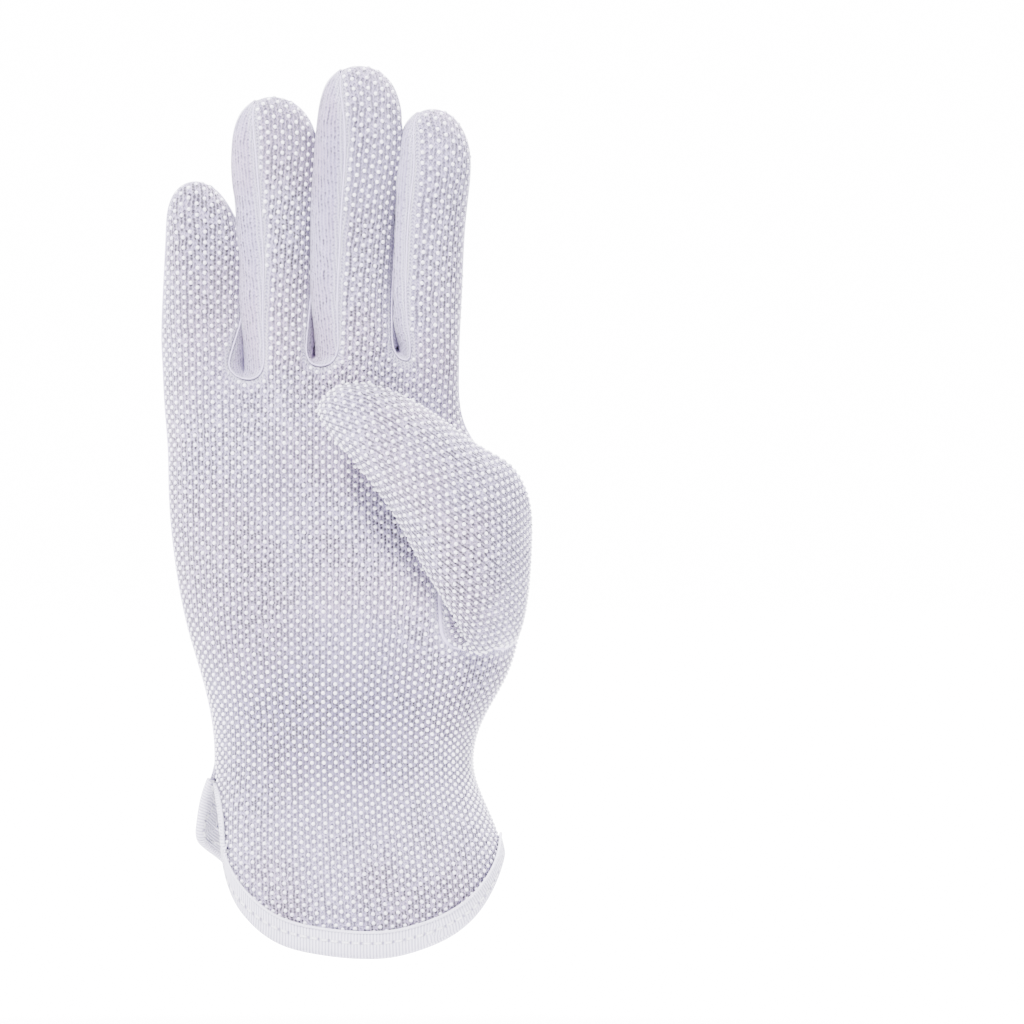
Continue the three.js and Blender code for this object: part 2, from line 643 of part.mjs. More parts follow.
function wallGeometry(triangles) {
  const edges = borderEdges(triangles);
  const shifts = drawBack(triangles, edges);
  const used = [...new Set(triangles.flat())];
  const place = new Map(used.map((n, i) => [n, i]));
  const positions = [];
  for (const source of [points, innerPoints]) {
    for (const n of used) {
      const p = source[n].clone();
      if (shifts.has(n)) p.add(shifts.get(n));
      positions.push(p.x, p.y, p.z);
    }
  }
  const inner = used.length;
  const indices = [];
  for (const [a, b, c] of triangles) {
    const [i, j, k] = [place.get(a), place.get(b), place.get(c)];
    indices.push(i, j, k, inner + i, inner + k, inner + j);
  }
  for (const [from, to] of edges) {
    const [i, j] = [place.get(from), place.get(to)];
    // Both pieces at a seam split their edge's cells the same way.
    if (from < to) indices.push(i, inner + i, inner + j, i, inner + j, j);
    else indices.push(i, inner + i, j, inner + i, inner + j, j);
  }
  return closedGeometry(positions, indices);
}

function closedGeometry(positions, indices) {
  const geometry = new THREE.BufferGeometry();
  geometry.setAttribute("position", new THREE.Float32BufferAttribute(positions, 3));
  geometry.setIndex(indices);
  geometry.computeVertexNormals();
  return geometry;
}

// A closed solid from equal rings of points along a way. Each ring is a folded line, out along one
// side and back along the other, so its end is closed as a row of four-sided pieces.
function ringGeometry(rings) {
  const around = rings[0].length;
  const positions = rings.flat().flatMap((p) => [p.x, p.y, p.z]);
  const indices = [];
  for (let r = 0; r + 1 < rings.length; r += 1) {
    for (let j = 0; j < around; j += 1) {
      const a = r * around + j;
      const b = r * around + ((j + 1) % around);
      indices.push(a, b, b + around, a, b + around, a + around);
    }
  }
  const last = (rings.length - 1) * around;
  for (let j = 0; j < around / 2 - 1; j += 1) {
    const [a, b, c, d] = [j, j + 1, around - 2 - j, around - 1 - j];
    indices.push(a, c, b, a, d, c);
    indices.push(last + a, last + b, last + c, last + a, last + c, last + d);
  }
  return closedGeometry(positions, indices);
}

// Binding: a folded strip over the cloth's edge. It follows the palm's vent edge, the whole hem and
// the back's vent edge.

function bindingWay() {
  const way = [];
  // Each step holds the edge's point and the line of points that runs into the cloth from it.
  const step = (side, row, column, rowStep, columnStep) => {
    const line = [];
    for (let k = 0; k <= BINDING_REACH; k += 1) {
      line.push(bodyVertex(side, row + k * rowStep, column + k * columnStep));
    }
    way.push(line);
  };
  const topRow = CUFF_ROWS - VENT_BINDING_STOP;
  for (let row = topRow; row > 0; row -= 1) step("palm", row, 0, 0, 1);
  step("palm", 0, 0, 1, 1);
  for (let c = 1; c <= LAST_COLUMN; c += 1) step("palm", 0, c, 1, 0);
  for (let c = LAST_COLUMN - 1; c > 0; c -= 1) step("back", 0, c, 1, 0);
  step("back", 0, 0, 1, 1);
  for (let row = 1; row <= topRow; row += 1) step("back", row, 0, 0, 1);
  return way;
}

// The place and the cloth's facing at a distance along a line of points.
function placeAlong(line, source, distance) {
  let left = distance;
  for (let k = 0; k + 1 < line.length; k += 1) {
    const [from, to] = [line[k], line[k + 1]];
    const span = source[from].distanceTo(source[to]);
    if (left <= span || k + 2 === line.length) {
      const t = Math.min(1, left / span);
      return {
        place: source[from].clone().lerp(source[to], t),
        normal: wholeNormals[from].clone().lerp(wholeNormals[to], t).normalize(),
      };
    }
    left -= span;
  }
}

function bindingSection(way, k) {
  const line = way[k];
  const before = way[Math.max(0, k - 1)][0];
  const after = way[Math.min(way.length - 1, k + 1)][0];
  const edgeNormal = wholeNormals[line[0]];
  const outward = points[after].clone().sub(points[before]).normalize().cross(edgeNormal).normalize();
  const rise = SEAM_GAP + BINDING_CLOTH;
  const onCloth = (source, distance, offCloth, offEdge = 0) => {
    const { place, normal } = placeAlong(line, source, distance);
    return place.addScaledVector(normal, offCloth).addScaledVector(outward, offEdge);
  };
  const middle = BINDING_WIDTH / 2;
  return [
    onCloth(points, BINDING_WIDTH, rise),
    onCloth(points, middle, rise),
    onCloth(points, 0, rise, SEAM_GAP),
    onCloth(points, 0, 0, BINDING_EDGE),
    onCloth(innerPoints, 0, 0, BINDING_EDGE),
    onCloth(innerPoints, 0, -rise, SEAM_GAP),
    onCloth(innerPoints, middle, -rise),
    onCloth(innerPoints, BINDING_WIDTH, -rise),
    onCloth(innerPoints, BINDING_WIDTH, -SEAM_GAP),
    onCloth(innerPoints, middle, -SEAM_GAP),
    onCloth(innerPoints, 0, -SEAM_GAP, SEAM_GAP),
    onCloth(points, 0, SEAM_GAP, SEAM_GAP),
    onCloth(points, middle, SEAM_GAP),
    onCloth(points, BINDING_WIDTH, SEAM_GAP),
  ];
}

function bindingGeometry() {
  const way = bindingWay();
  return ringGeometry(way.map((_, k) => bindingSection(way, k)));
}

// Raised points

// Height of the back panel's outer surface, from the triangle that holds the place.
function backSurface(x, z) {
  for (const [a, b, c] of pieces.get("back_panel")) {
    const [p, q, r] = [points[a], points[b], points[c]];
    const area = (q.x - p.x) * (r.z - p.z) - (r.x - p.x) * (q.z - p.z);
    const v = ((x - p.x) * (r.z - p.z) - (r.x - p.x) * (z - p.z)) / area;
    const w = ((q.x - p.x) * (z - p.z) - (x - p.x) * (q.z - p.z)) / area;
    if (v >= -1e-6 && w >= -1e-6 && v + w <= 1 + 1e-6) return p.y + v * (q.y - p.y) + w * (r.y - p.y);
  }
  throw new Error(`the back has no surface at ${x}, ${z}`);
}

function pointGeometry({ way }) {
  const curve = new THREE.CatmullRomCurve3(way.map(([x, z]) => new THREE.Vector3(x, 0, z)));
  const rings = [];
  for (let k = 0; k <= POINT_STEPS; k += 1) {
    const t = k / POINT_STEPS;
    const centre = curve.getPointAt(t);
    const along = curve.getTangentAt(t);
    const size = lerp(POINT_END_SIZE, 1, smoothstep(1 - t, 0, POINT_TAPER));
    const base = [];
    const crest = [];
    for (const { across, rise } of POINT_PROFILE) {
      const off = (across * size * POINT_WIDTH) / 2;
      const x = centre.x + along.z * off;
      const z = centre.z - along.x * off;
      const y = backSurface(x, z) + POINT_SEAT;
      base.push(new THREE.Vector3(x, y, z));
      crest.push(new THREE.Vector3(x, y + POINT_EDGE + rise * size * (POINT_RISE - POINT_EDGE), z));
    }
    rings.push([...crest.reverse(), ...base]);
  }
  return ringGeometry(rings);
}

// The glove

const glove = new THREE.Group();
glove.name = "cotton_glove";

function addPiece(name, geometry, look) {
  const mesh = new THREE.Mesh(geometry, new THREE.MeshStandardMaterial(look));
  mesh.name = name;
  glove.add(mesh);
}

const DOTTED_PIECES = ["palm_panel", "thumb"];
for (const [name, triangles] of pieces) {
  addPiece(name, wallGeometry(triangles), DOTTED_PIECES.includes(name) ? DOTTED_CLOTH : PLAIN_CLOTH);
}
addPiece("cuff_binding", bindingGeometry(), BINDING_COLOUR);
for (const point of POINTS) addPiece(point.name, pointGeometry(point), PLAIN_CLOTH);

export default glove;
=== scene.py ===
# %% [markdown]
# # A white cotton glove with grip dots
#
# The glove is sewn from knitted panels. The palm and the thumb are a dotted jersey, the back and the
# strips between the fingers are a plain jersey, and one folded strip binds the wrist opening.
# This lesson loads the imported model, turns each of its panels into soft cloth, and adds what is too
# fine for the model: grip dots, knit, stitches, piping and puckers.

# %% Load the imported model
import math

import bmesh
import bpy
import numpy as np
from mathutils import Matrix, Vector, kdtree
from mathutils.bvhtree import BVHTree


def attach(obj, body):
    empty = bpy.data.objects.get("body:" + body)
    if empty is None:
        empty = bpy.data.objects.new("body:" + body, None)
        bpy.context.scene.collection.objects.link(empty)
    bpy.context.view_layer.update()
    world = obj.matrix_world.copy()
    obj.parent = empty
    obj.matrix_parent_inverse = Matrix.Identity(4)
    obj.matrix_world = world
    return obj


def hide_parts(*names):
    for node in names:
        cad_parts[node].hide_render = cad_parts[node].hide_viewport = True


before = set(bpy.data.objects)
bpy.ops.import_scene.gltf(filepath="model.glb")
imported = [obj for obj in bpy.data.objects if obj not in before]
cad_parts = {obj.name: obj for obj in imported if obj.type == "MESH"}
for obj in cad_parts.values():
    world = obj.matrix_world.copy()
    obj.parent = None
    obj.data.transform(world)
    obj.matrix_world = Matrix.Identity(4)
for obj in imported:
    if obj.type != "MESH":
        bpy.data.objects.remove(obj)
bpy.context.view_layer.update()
MM = 0.001

# %% [markdown]
# ## Small helpers
#
# Operators act on whatever is selected, and loading leaves the model selected. So one helper clears the
# selection and picks a single piece, and another opens that piece in edit mode.

# %% Selection helpers


def pick(piece):
    """Selects one piece alone and makes it the active one."""
    if bpy.context.object and bpy.context.object.mode != "OBJECT":
        bpy.ops.object.mode_set(mode="OBJECT")
    bpy.ops.object.select_all(action="DESELECT")
    piece.select_set(True)
    bpy.context.view_layer.objects.active = piece


def open_mesh(piece, select="SELECT"):
    """Opens a piece in edit mode with all of it selected, or none of it."""
    pick(piece)
    bpy.ops.object.mode_set(mode="EDIT")
    bpy.ops.mesh.select_all(action=select)


# %% [markdown]
# ## Cloth panels
#
# On the real glove each panel is a flat piece of jersey that the hand inside makes round. The model has
# the right shapes but shows its facets. A panel could be drawn again from nothing, but it would no longer
# meet its neighbours, so a copy of the model's mesh is merged, its triangles are joined to quads, and
# Subdivision Surface rounds it. The turned-in edges are creased, so the panels still meet at the seams.

# %% Copy a panel of the model
EDGE_ANGLE = 50     # degrees: a fold sharper than this is the cut edge of a panel
EDGE_CREASE = 0.8   # how firmly a cut edge holds its line when the panel is rounded
CORNER_TURN = 75    # degrees: a cut edge that turns more than this keeps its corner


def copy_panel(node, name, edge_angle=EDGE_ANGLE):
    """A merged copy of a model node, in quads, with its cut edges marked as seams."""
    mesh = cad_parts[node].data.copy()
    mesh.name = name
    mesh.materials.clear()
    piece = bpy.data.objects.new(name, mesh)
    bpy.context.scene.collection.objects.link(piece)
    open_mesh(piece)
    bpy.ops.mesh.remove_doubles(threshold=0.00001)
    bpy.ops.mesh.tris_convert_to_quads(
        face_threshold=math.radians(45), shape_threshold=math.radians(75))
    bpy.ops.mesh.select_all(action="DESELECT")
    bpy.ops.mesh.select_mode(type="EDGE")
    bpy.ops.mesh.edges_select_sharp(sharpness=math.radians(edge_angle))
    bpy.ops.mesh.mark_seam(clear=False)
    bpy.ops.mesh.select_mode(type="FACE")
    bpy.ops.object.mode_set(mode="OBJECT")
    return piece


# %% [markdown]
# ## Laying the cloth flat
#
# Knit and dots were on the cloth before it was cut, so they should follow the cloth round every finger.
# Unwrapping a panel along its cut edges gives back nearly the flat shape it was cut in. The map is then
# scaled to millimetres and turned until the wales, the columns of the knit, run along the hand.

# %% Unwrap a panel to millimetres


def shells_of(mesh):
    """Groups of faces that are joined without crossing a seam, the largest first."""
    bm = bmesh.new()
    bm.from_mesh(mesh)
    bm.faces.ensure_lookup_table()
    seen = set()
    shells = []
    for start in bm.faces:
        if start.index in seen:
            continue
        seen.add(start.index)
        group = []
        queue = [start]
        while queue:
            face = queue.pop()
            group.append(face.index)
            for edge in face.edges:
                if edge.seam:
                    continue
                for other in edge.link_faces:
                    if other.index not in seen:
                        seen.add(other.index)
                        queue.append(other)
        shells.append((sum(bm.faces[i].calc_area() for i in group), group))
    bm.free()
    shells.sort(key=lambda shell: -shell[0])
    return [group for _, group in shells]


def faces_of_cloth(mesh, strip):
    """The shells that show, and those on the inside. A panel has one of each. A strip is folded
    round the foot of a gap: it has two legs, and a foot that may be a shell of its own."""
    groups = shells_of(mesh)
    if not strip:
        return groups[:1], groups[1:2]
    spots = []
    for group in groups:
        faces = [mesh.polygons[i] for i in group]
        area = sum(face.area for face in faces)
        spots.append((sum((face.center * face.area for face in faces), Vector()) / area,
                      sum((face.normal * face.area for face in faces), Vector()) / area))
    middle = sum(centre.x for centre, _ in spots[:4]) / 4
    foot = min(centre.z for centre, _ in spots) + 12 * MM
    shown, hidden = [], []
    for number, (centre, normal) in enumerate(spots):
        if number < 4:
            (shown if (centre.x - middle) * normal.x < 0 else hidden).append(groups[number])
        elif centre.z < foot and abs(normal.z) > 0.5:
            (shown if normal.z > 0 else hidden).append(groups[number])
    print("shells that show and hidden ones:", [len(g) for g in shown], [len(g) for g in hidden])
    return shown, hidden


def crease_rims(piece, strip=False):
    """Creases the lines where a panel's two faces end, and pins the corners of those lines."""
    mesh = piece.data
    shown, hidden = faces_of_cloth(mesh, strip)
    faces = {i for group in shown + hidden for i in group}
    sides = {}
    for polygon in mesh.polygons:
        for key in polygon.edge_keys:
            sides.setdefault(key, []).append(polygon.index in faces)
    open_mesh(piece, "DESELECT")
    bm = bmesh.from_edit_mesh(mesh)
    crease = bm.edges.layers.float.get("crease_edge") or bm.edges.layers.float.new("crease_edge")
    pin = bm.verts.layers.float.get("crease_vert") or bm.verts.layers.float.new("crease_vert")
    rim = []
    for edge in bm.edges:
        key = tuple(sorted(v.index for v in edge.verts))
        if edge.seam and sorted(sides[key]) == [False, True]:
            edge[crease] = EDGE_CREASE
            rim.append(edge)
    arms = {}
    for edge in rim:
        a, b = edge.verts
        arms.setdefault(a, []).append((b.co - a.co).normalized())
        arms.setdefault(b, []).append((a.co - b.co).normalized())
    pinned = 0
    for corner, ways in arms.items():
        if len(ways) == 2 and ways[0].angle(ways[1]) < math.pi - math.radians(CORNER_TURN):
            corner[pin] = 1.0
            pinned += 1
    bmesh.update_edit_mesh(mesh)
    bpy.ops.object.mode_set(mode="OBJECT")
    return len(rim), pinned


def cut_open(piece, start, end):
    """Marks a seam along both faces of a tube, between the corners nearest to two points (mm)."""
    mesh = piece.data
    for group in shells_of(mesh)[:2]:
        corners = {v for i in group for v in mesh.polygons[i].vertices}
        rim = {v for edge in mesh.edges if edge.use_seam for v in edge.vertices} & corners
        ends = [min(sorted(some), key=lambda v: (mesh.vertices[v].co - Vector(point) * MM).length)
                for some, point in ((corners, start), (rim, end))]
        open_mesh(piece, "DESELECT")
        bpy.ops.mesh.select_mode(type="VERT")
        bm = bmesh.from_edit_mesh(mesh)
        bm.verts.ensure_lookup_table()
        for v in ends:
            bm.verts[v].select_set(True)
        bmesh.update_edit_mesh(mesh)
        bpy.ops.mesh.shortest_path_select(edge_mode="SELECT")
        bpy.ops.mesh.select_mode(type="EDGE")
        bpy.ops.mesh.mark_seam(clear=False)
        bpy.ops.mesh.select_mode(type="FACE")
        bpy.ops.object.mode_set(mode="OBJECT")
        print(piece.name, "seam from corner", ends[0], "to corner", ends[1])


def lay_flat(piece, grain, method="ANGLE_BASED", strip=False):
    """Unwraps a panel, in millimetres, with the wales along the grain direction."""
    open_mesh(piece)
    bpy.ops.uv.unwrap(method=method, fill_holes=True, margin=0.001, iterations=30)
    bpy.ops.object.mode_set(mode="OBJECT")
    mesh = piece.data
    mesh.uv_layers.active.name = "cloth"
    flat = np.zeros(len(mesh.loops) * 2)
    mesh.uv_layers["cloth"].data.foreach_get("uv", flat)
    flat = flat.reshape(-1, 2)
    places = np.array([v.co for v in mesh.vertices])
    corner = np.array([loop.vertex_index for loop in mesh.loops])
    marks = mesh.attributes.new("shell", "INT", "FACE")
    outer = {i for group in faces_of_cloth(mesh, strip)[0] for i in group}
    for group in shells_of(mesh):
        loops = np.concatenate([np.arange(p.loop_start, p.loop_start + p.loop_total)
                                for p in (mesh.polygons[i] for i in group)])
        real = sum(mesh.polygons[i].area for i in group)
        drawn = 0.0
        for i in group:
            p = mesh.polygons[i]
            x, y = flat[p.loop_start:p.loop_start + p.loop_total].T
            drawn += abs(np.dot(x, np.roll(y, -1)) - np.dot(y, np.roll(x, -1))) / 2
            marks.data[i].value = 0 if i in outer else 1
        here = flat[loops] - flat[loops].mean(0)
        here *= math.sqrt(real / max(drawn, 1e-12)) / MM
        along = places[corner[loops]] @ np.array(grain)
        slope = np.linalg.lstsq(here, along - along.mean(), rcond=None)[0]
        turn = math.atan2(slope[0], slope[1])
        c, s = math.cos(turn), math.sin(turn)
        flat[loops] = here @ np.array([[c, s], [-s, c]])
    mesh.uv_layers["cloth"].data.foreach_set("uv", flat.ravel())


def lay_along(piece, start):
    """Maps the outer face of a strip straight: u along the strip and v across it, in millimetres."""
    mesh = piece.data
    faces = [p for p in mesh.polygons if mesh.attributes["shell"].data[p.index].value == 0]
    first = min(faces, key=lambda p: (p.center - Vector(start) * MM).length).index
    open_mesh(piece, "DESELECT")
    bm = bmesh.from_edit_mesh(mesh)
    bm.faces.ensure_lookup_table()
    cloth_map = bm.loops.layers.uv["cloth"]
    shell = bm.faces.layers.int["shell"]
    for face in bm.faces:
        face.select_set(face[shell] == 0)
    bm.faces.active = bm.faces[first]
    for loop in bm.faces[first].loops:
        loop[cloth_map].uv = (loop.vert.co.x / MM, loop.vert.co.z / MM)
    bmesh.update_edit_mesh(mesh)
    bpy.ops.uv.follow_active_quads(mode="LENGTH_AVERAGE")
    bpy.ops.object.mode_set(mode="OBJECT")
    return len(faces)


# %% Round a panel
ROUNDING = 2        # levels of subdivision
SMOOTH_ANGLE = 60   # degrees: a sharper edge is shaded hard


def round_off(piece):
    """Rounds a panel with Subdivision Surface and applies it."""
    pick(piece)
    subdivision = piece.modifiers.new("rounding", "SUBSURF")
    subdivision.levels = ROUNDING
    subdivision.render_levels = ROUNDING
    subdivision.uv_smooth = "PRESERVE_BOUNDARIES"
    bpy.ops.object.modifier_apply(modifier=subdivision.name)
    bpy.ops.object.shade_smooth_by_angle(angle=math.radians(SMOOTH_ANGLE))


# %% [markdown]
# ## Creases, puckers and closed fingers
#
# Cloth on a hand is never quite smooth. Soft creases run from the crotches into the palm, the elastic
# draws the wrist into puckers, and each finger leans against the next. Brushing them in by hand would
# not move the raised points and the seams along with the cloth. So every piece goes through one smooth
# field: a point moves by where it lies, and neighbours move alike.

# %% Where the cloth moves
CREASES = [
    # side, x and z of one end, x and z of the other end, half width, rise (minus: a hollow), mm
    ("palm", -30, 158, -15, 128, 4.0, -1.5),
    ("palm", -24, 156, -10, 134, 3.5, 0.8),
    ("palm", -12, 162, -4, 148, 3.5, -1.0),
    ("palm", -46, 140, -30, 120, 6.0, -0.8),
    ("palm", -40, 112, -18, 92, 6.0, 1.0),
    ("palm", -36, 98, -8, 80, 5.0, -1.5),
    ("palm", -30, 86, 4, 72, 4.5, 1.0),
    ("palm", -34, 70, 22, 62, 5.0, -1.4),
    ("palm", -20, 60, 26, 54, 4.0, 0.8),
    ("palm", -34, 52, 8, 46, 5.0, -1.0),
    ("palm", 0, 118, 10, 92, 5.0, -1.2),
    ("palm", 26, 60, 32, 30, 5.0, -0.8),
    ("palm", -24, 40, -18, 14, 5.0, 0.8),
    ("palm", 6, 40, 10, 14, 5.0, -0.8),
    ("palm", -44, 205, -40, 180, 4.0, -0.8),
    ("palm", -24, 225, -22, 190, 4.0, 0.7),
    ("palm", 2, 235, 0, 195, 4.0, -0.7),
    ("palm", 24, 225, 24, 185, 4.0, 0.7),
    ("back", 20, 150, 16, 110, 6.0, -0.8),
    ("back", 26, 92, 14, 70, 5.0, -1.2),
    ("back", 10, 84, 6, 66, 4.0, 0.8),
    ("back", -4, 80, -6, 64, 4.0, -1.0),
    ("back", -34, 76, -28, 62, 4.0, -1.0),
    ("back", -44, 110, -40, 80, 5.0, 0.7),
    ("back", 22, 50, 28, 20, 4.5, -1.0),
    ("back", 10, 50, 12, 16, 4.5, 1.0),
    ("back", -2, 50, -4, 12, 4.5, -1.0),
    ("back", -16, 50, -20, 14, 4.5, 1.0),
    ("back", -30, 50, -38, 18, 4.5, -1.0),
]
ELASTIC = 57.0       # mm: the height of the elastic
PUCKER = 6.2         # mm from one pucker to the next
PUCKER_RISE = {"palm": 0.4, "back": 0.9}
FINGER_GAPS = [
    # x and z at the foot of the gap, x and z at its top, how much the two fingers close up, mm
    (-33.8, 160.0, -35.2, 208.0, 2.2),
    (-14.3, 164.0, -13.9, 236.0, 1.6),
    (9.0, 166.0, 10.6, 232.0, 2.4),
]
FINGER_REACH = 8.0   # mm: how far into a finger the closing is felt


def ease(value, low, high):
    """0 below low, 1 above high and smooth between."""
    t = np.clip((value - low) / (high - low), 0, 1)
    return t * t * (3 - 2 * t)


def moved(places):
    """Where points of the glove end up, in metres."""
    x, y, z = places.T / MM
    rise = {"palm": np.zeros(len(x)), "back": np.zeros(len(x))}
    for side, x0, z0, x1, z1, wide, depth in CREASES:
        long = math.hypot(x1 - x0, z1 - z0)
        ux, uz = (x1 - x0) / long, (z1 - z0) / long
        along = ((x - x0) * ux + (z - z0) * uz) / long
        off = (x - x0) * uz - (z - z0) * ux
        fade = ease(along, -0.25, 0.3) * ease(-along, -1.25, -0.7)
        rise[side] += depth * np.exp(-(off / wide) ** 2) * fade
    wave = np.cos(2 * math.pi * (x + 2.0 * np.sin(x / 5.3)) / PUCKER)
    for side, most in PUCKER_RISE.items():
        rise[side] += most * wave * np.exp(-((z - ELASTIC) / 8.0) ** 2)
    hem = ease(z, 7.0, 16.0)
    out = places.copy()
    out[:, 1] -= rise["palm"] * hem * ease(-y, 0.0, 6.0) * MM
    out[:, 1] += rise["back"] * hem * ease(y, 0.0, 6.0) * MM
    for x0, z0, x1, z1, close in FINGER_GAPS:
        gap = x0 + (x1 - x0) * (z - z0) / (z1 - z0)
        felt = ease(z, z0, z0 + 10) * ease(-z, -z1 - 8, -z1 + 8)
        off = x - gap
        out[:, 0] -= np.sign(off) * close / 2 * np.exp(-(off / FINGER_REACH) ** 2) * felt * MM
    return out


def settle(piece):
    """Moves a piece's corners with the cloth."""
    places = np.array([v.co for v in piece.data.vertices])
    piece.data.vertices.foreach_set("co", moved(places).ravel())
    piece.data.update()


# %% [markdown]
# ## Room beside the seams
#
# Near a seam the cloth is doubled, so it is plainer there, and a painted highlight makes it brighter; a
# line of stitches runs beside it on the back. The shader needs to know how far each point is from the
# nearest seam, so that distance is measured once and kept on the mesh.

# %% Measure the room


def rim_of(mesh):
    """The edge of a panel's outer face, as pairs of corners."""
    shell = np.zeros(len(mesh.polygons), int)
    mesh.attributes["shell"].data.foreach_get("value", shell)
    count = {}
    for polygon in mesh.polygons:
        if shell[polygon.index] == 0:
            for key in polygon.edge_keys:
                count[key] = count.get(key, 0) + 1
    return sorted(key for key, number in count.items() if number == 1)


def tree_of(points):
    """A search tree that finds the nearest of some points."""
    tree = kdtree.KDTree(len(points))
    for i, point in enumerate(points):
        tree.insert(point, i)
    tree.balance()
    return tree


def measure_room(piece):
    """Keeps each corner's distance to the panel's cut edge, in mm, as the attribute room."""
    mesh = piece.data
    places = np.array([v.co for v in mesh.vertices])
    tree = tree_of([places[a] + (places[b] - places[a]) * k / 4
                    for a, b in rim_of(mesh) for k in range(4)])
    room = mesh.attributes.new("room", "FLOAT", "POINT")
    room.data.foreach_set("value", [tree.find(place)[2] / MM for place in places])


# %% [markdown]
# ## The panels
#
# The palm and the back each cover one side of the hand and of four fingers, the strips line the gaps
# between the fingers, and the thumb is a tube of its own. Each could be shaped alone, but the helpers
# above treat them alike, so a table says what differs. The thumb has no cut edge from tip to base, so it
# gets a seam along its upper side before it is laid flat, as a sleeve has.

# %% The panels of the glove
UP = (0.0, 0.0, 1.0)
THUMB_GRAIN = Vector((-0.76, 0.0, 0.65)).normalized()
THUMB_TIP = (-12.2, -26.7, 154.4)       # mm: the thumb's own seam runs along its upper edge,
THUMB_SEAM_FOOT = (42.0, -6.0, 134.0)   # from the tip to where the thumb leaves the palm
THUMB_EDGE_ANGLE = 70   # degrees: the thumb bends more at its base than the other panels do
PANELS = [
    # model node, new piece, direction of the wales, is it a strip between two fingers, and the
    # fold that counts as a cut edge
    ("palm_panel", "palm_cloth", UP, False, EDGE_ANGLE),
    ("back_panel", "back_cloth", UP, False, EDGE_ANGLE),
    ("fourchette_little_ring", "little_ring_strip", UP, True, EDGE_ANGLE),
    ("fourchette_ring_middle", "ring_middle_strip", UP, True, EDGE_ANGLE),
    ("fourchette_middle_index", "middle_index_strip", UP, True, EDGE_ANGLE),
    ("thumb", "thumb_cloth", THUMB_GRAIN, False, THUMB_EDGE_ANGLE),
]
cloth = {}
for node, name, grain, strip, fold in PANELS:
    cloth[name] = copy_panel(node, name, fold)
    print(name, "rim edges and pinned corners:", crease_rims(cloth[name], strip))
    print(name, "faces in each shell:", [len(group) for group in shells_of(cloth[name].data)][:6])
    if node == "thumb":
        cut_open(cloth[name], THUMB_TIP, THUMB_SEAM_FOOT)
        lay_flat(cloth[name], grain, "MINIMUM_STRETCH")
    else:
        lay_flat(cloth[name], grain, strip=strip)
    round_off(cloth[name])
    settle(cloth[name])
    measure_room(cloth[name])
    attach(cloth[name], "root")
    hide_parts(node)
    print(name, len(cloth[name].data.polygons), "faces")

# %% [markdown]
# ## The binding and the raised points
#
# The binding is one long strip folded over the hem, and the points are narrow tucks that stand on the
# back. Unwrapped like a panel, the binding would come out curved and its ribs would lean. Following its
# quads from one to the next lays it out straight, so the ribs stay square to its edge all the way.

# %% The binding and the three raised points
HEM_MIDDLE = (0.0, -34.0, 3.0)   # mm: where the map of the binding starts
for node, name in [
    ("cuff_binding", "cuff_strip"),
    ("back_point_index", "point_index"),
    ("back_point_middle", "point_middle"),
    ("back_point_ring", "point_ring"),
]:
    cloth[name] = copy_panel(node, name)
    crease_rims(cloth[name])
    lay_flat(cloth[name], UP)
    if node == "cuff_binding":
        print("faces along the binding:", lay_along(cloth[name], HEM_MIDDLE))
    round_off(cloth[name])
    settle(cloth[name])
    measure_room(cloth[name])
    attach(cloth[name], "root")
    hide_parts(node)
    print(name, len(cloth[name].data.polygons), "faces, most room",
          round(max(item.value for item in cloth[name].data.attributes["room"].data), 1), "mm")

# %% [markdown]
# ## Knit materials
#
# Jersey is columns of small loops. Between the loops the cloth is open, and those tiny gaps are what the
# eye reads as knit. An image could be used, but it would blur close up, so the columns, the loops and the
# gaps are drawn by nodes from the flat map of the cloth, in millimetres.

# %% Shader helper


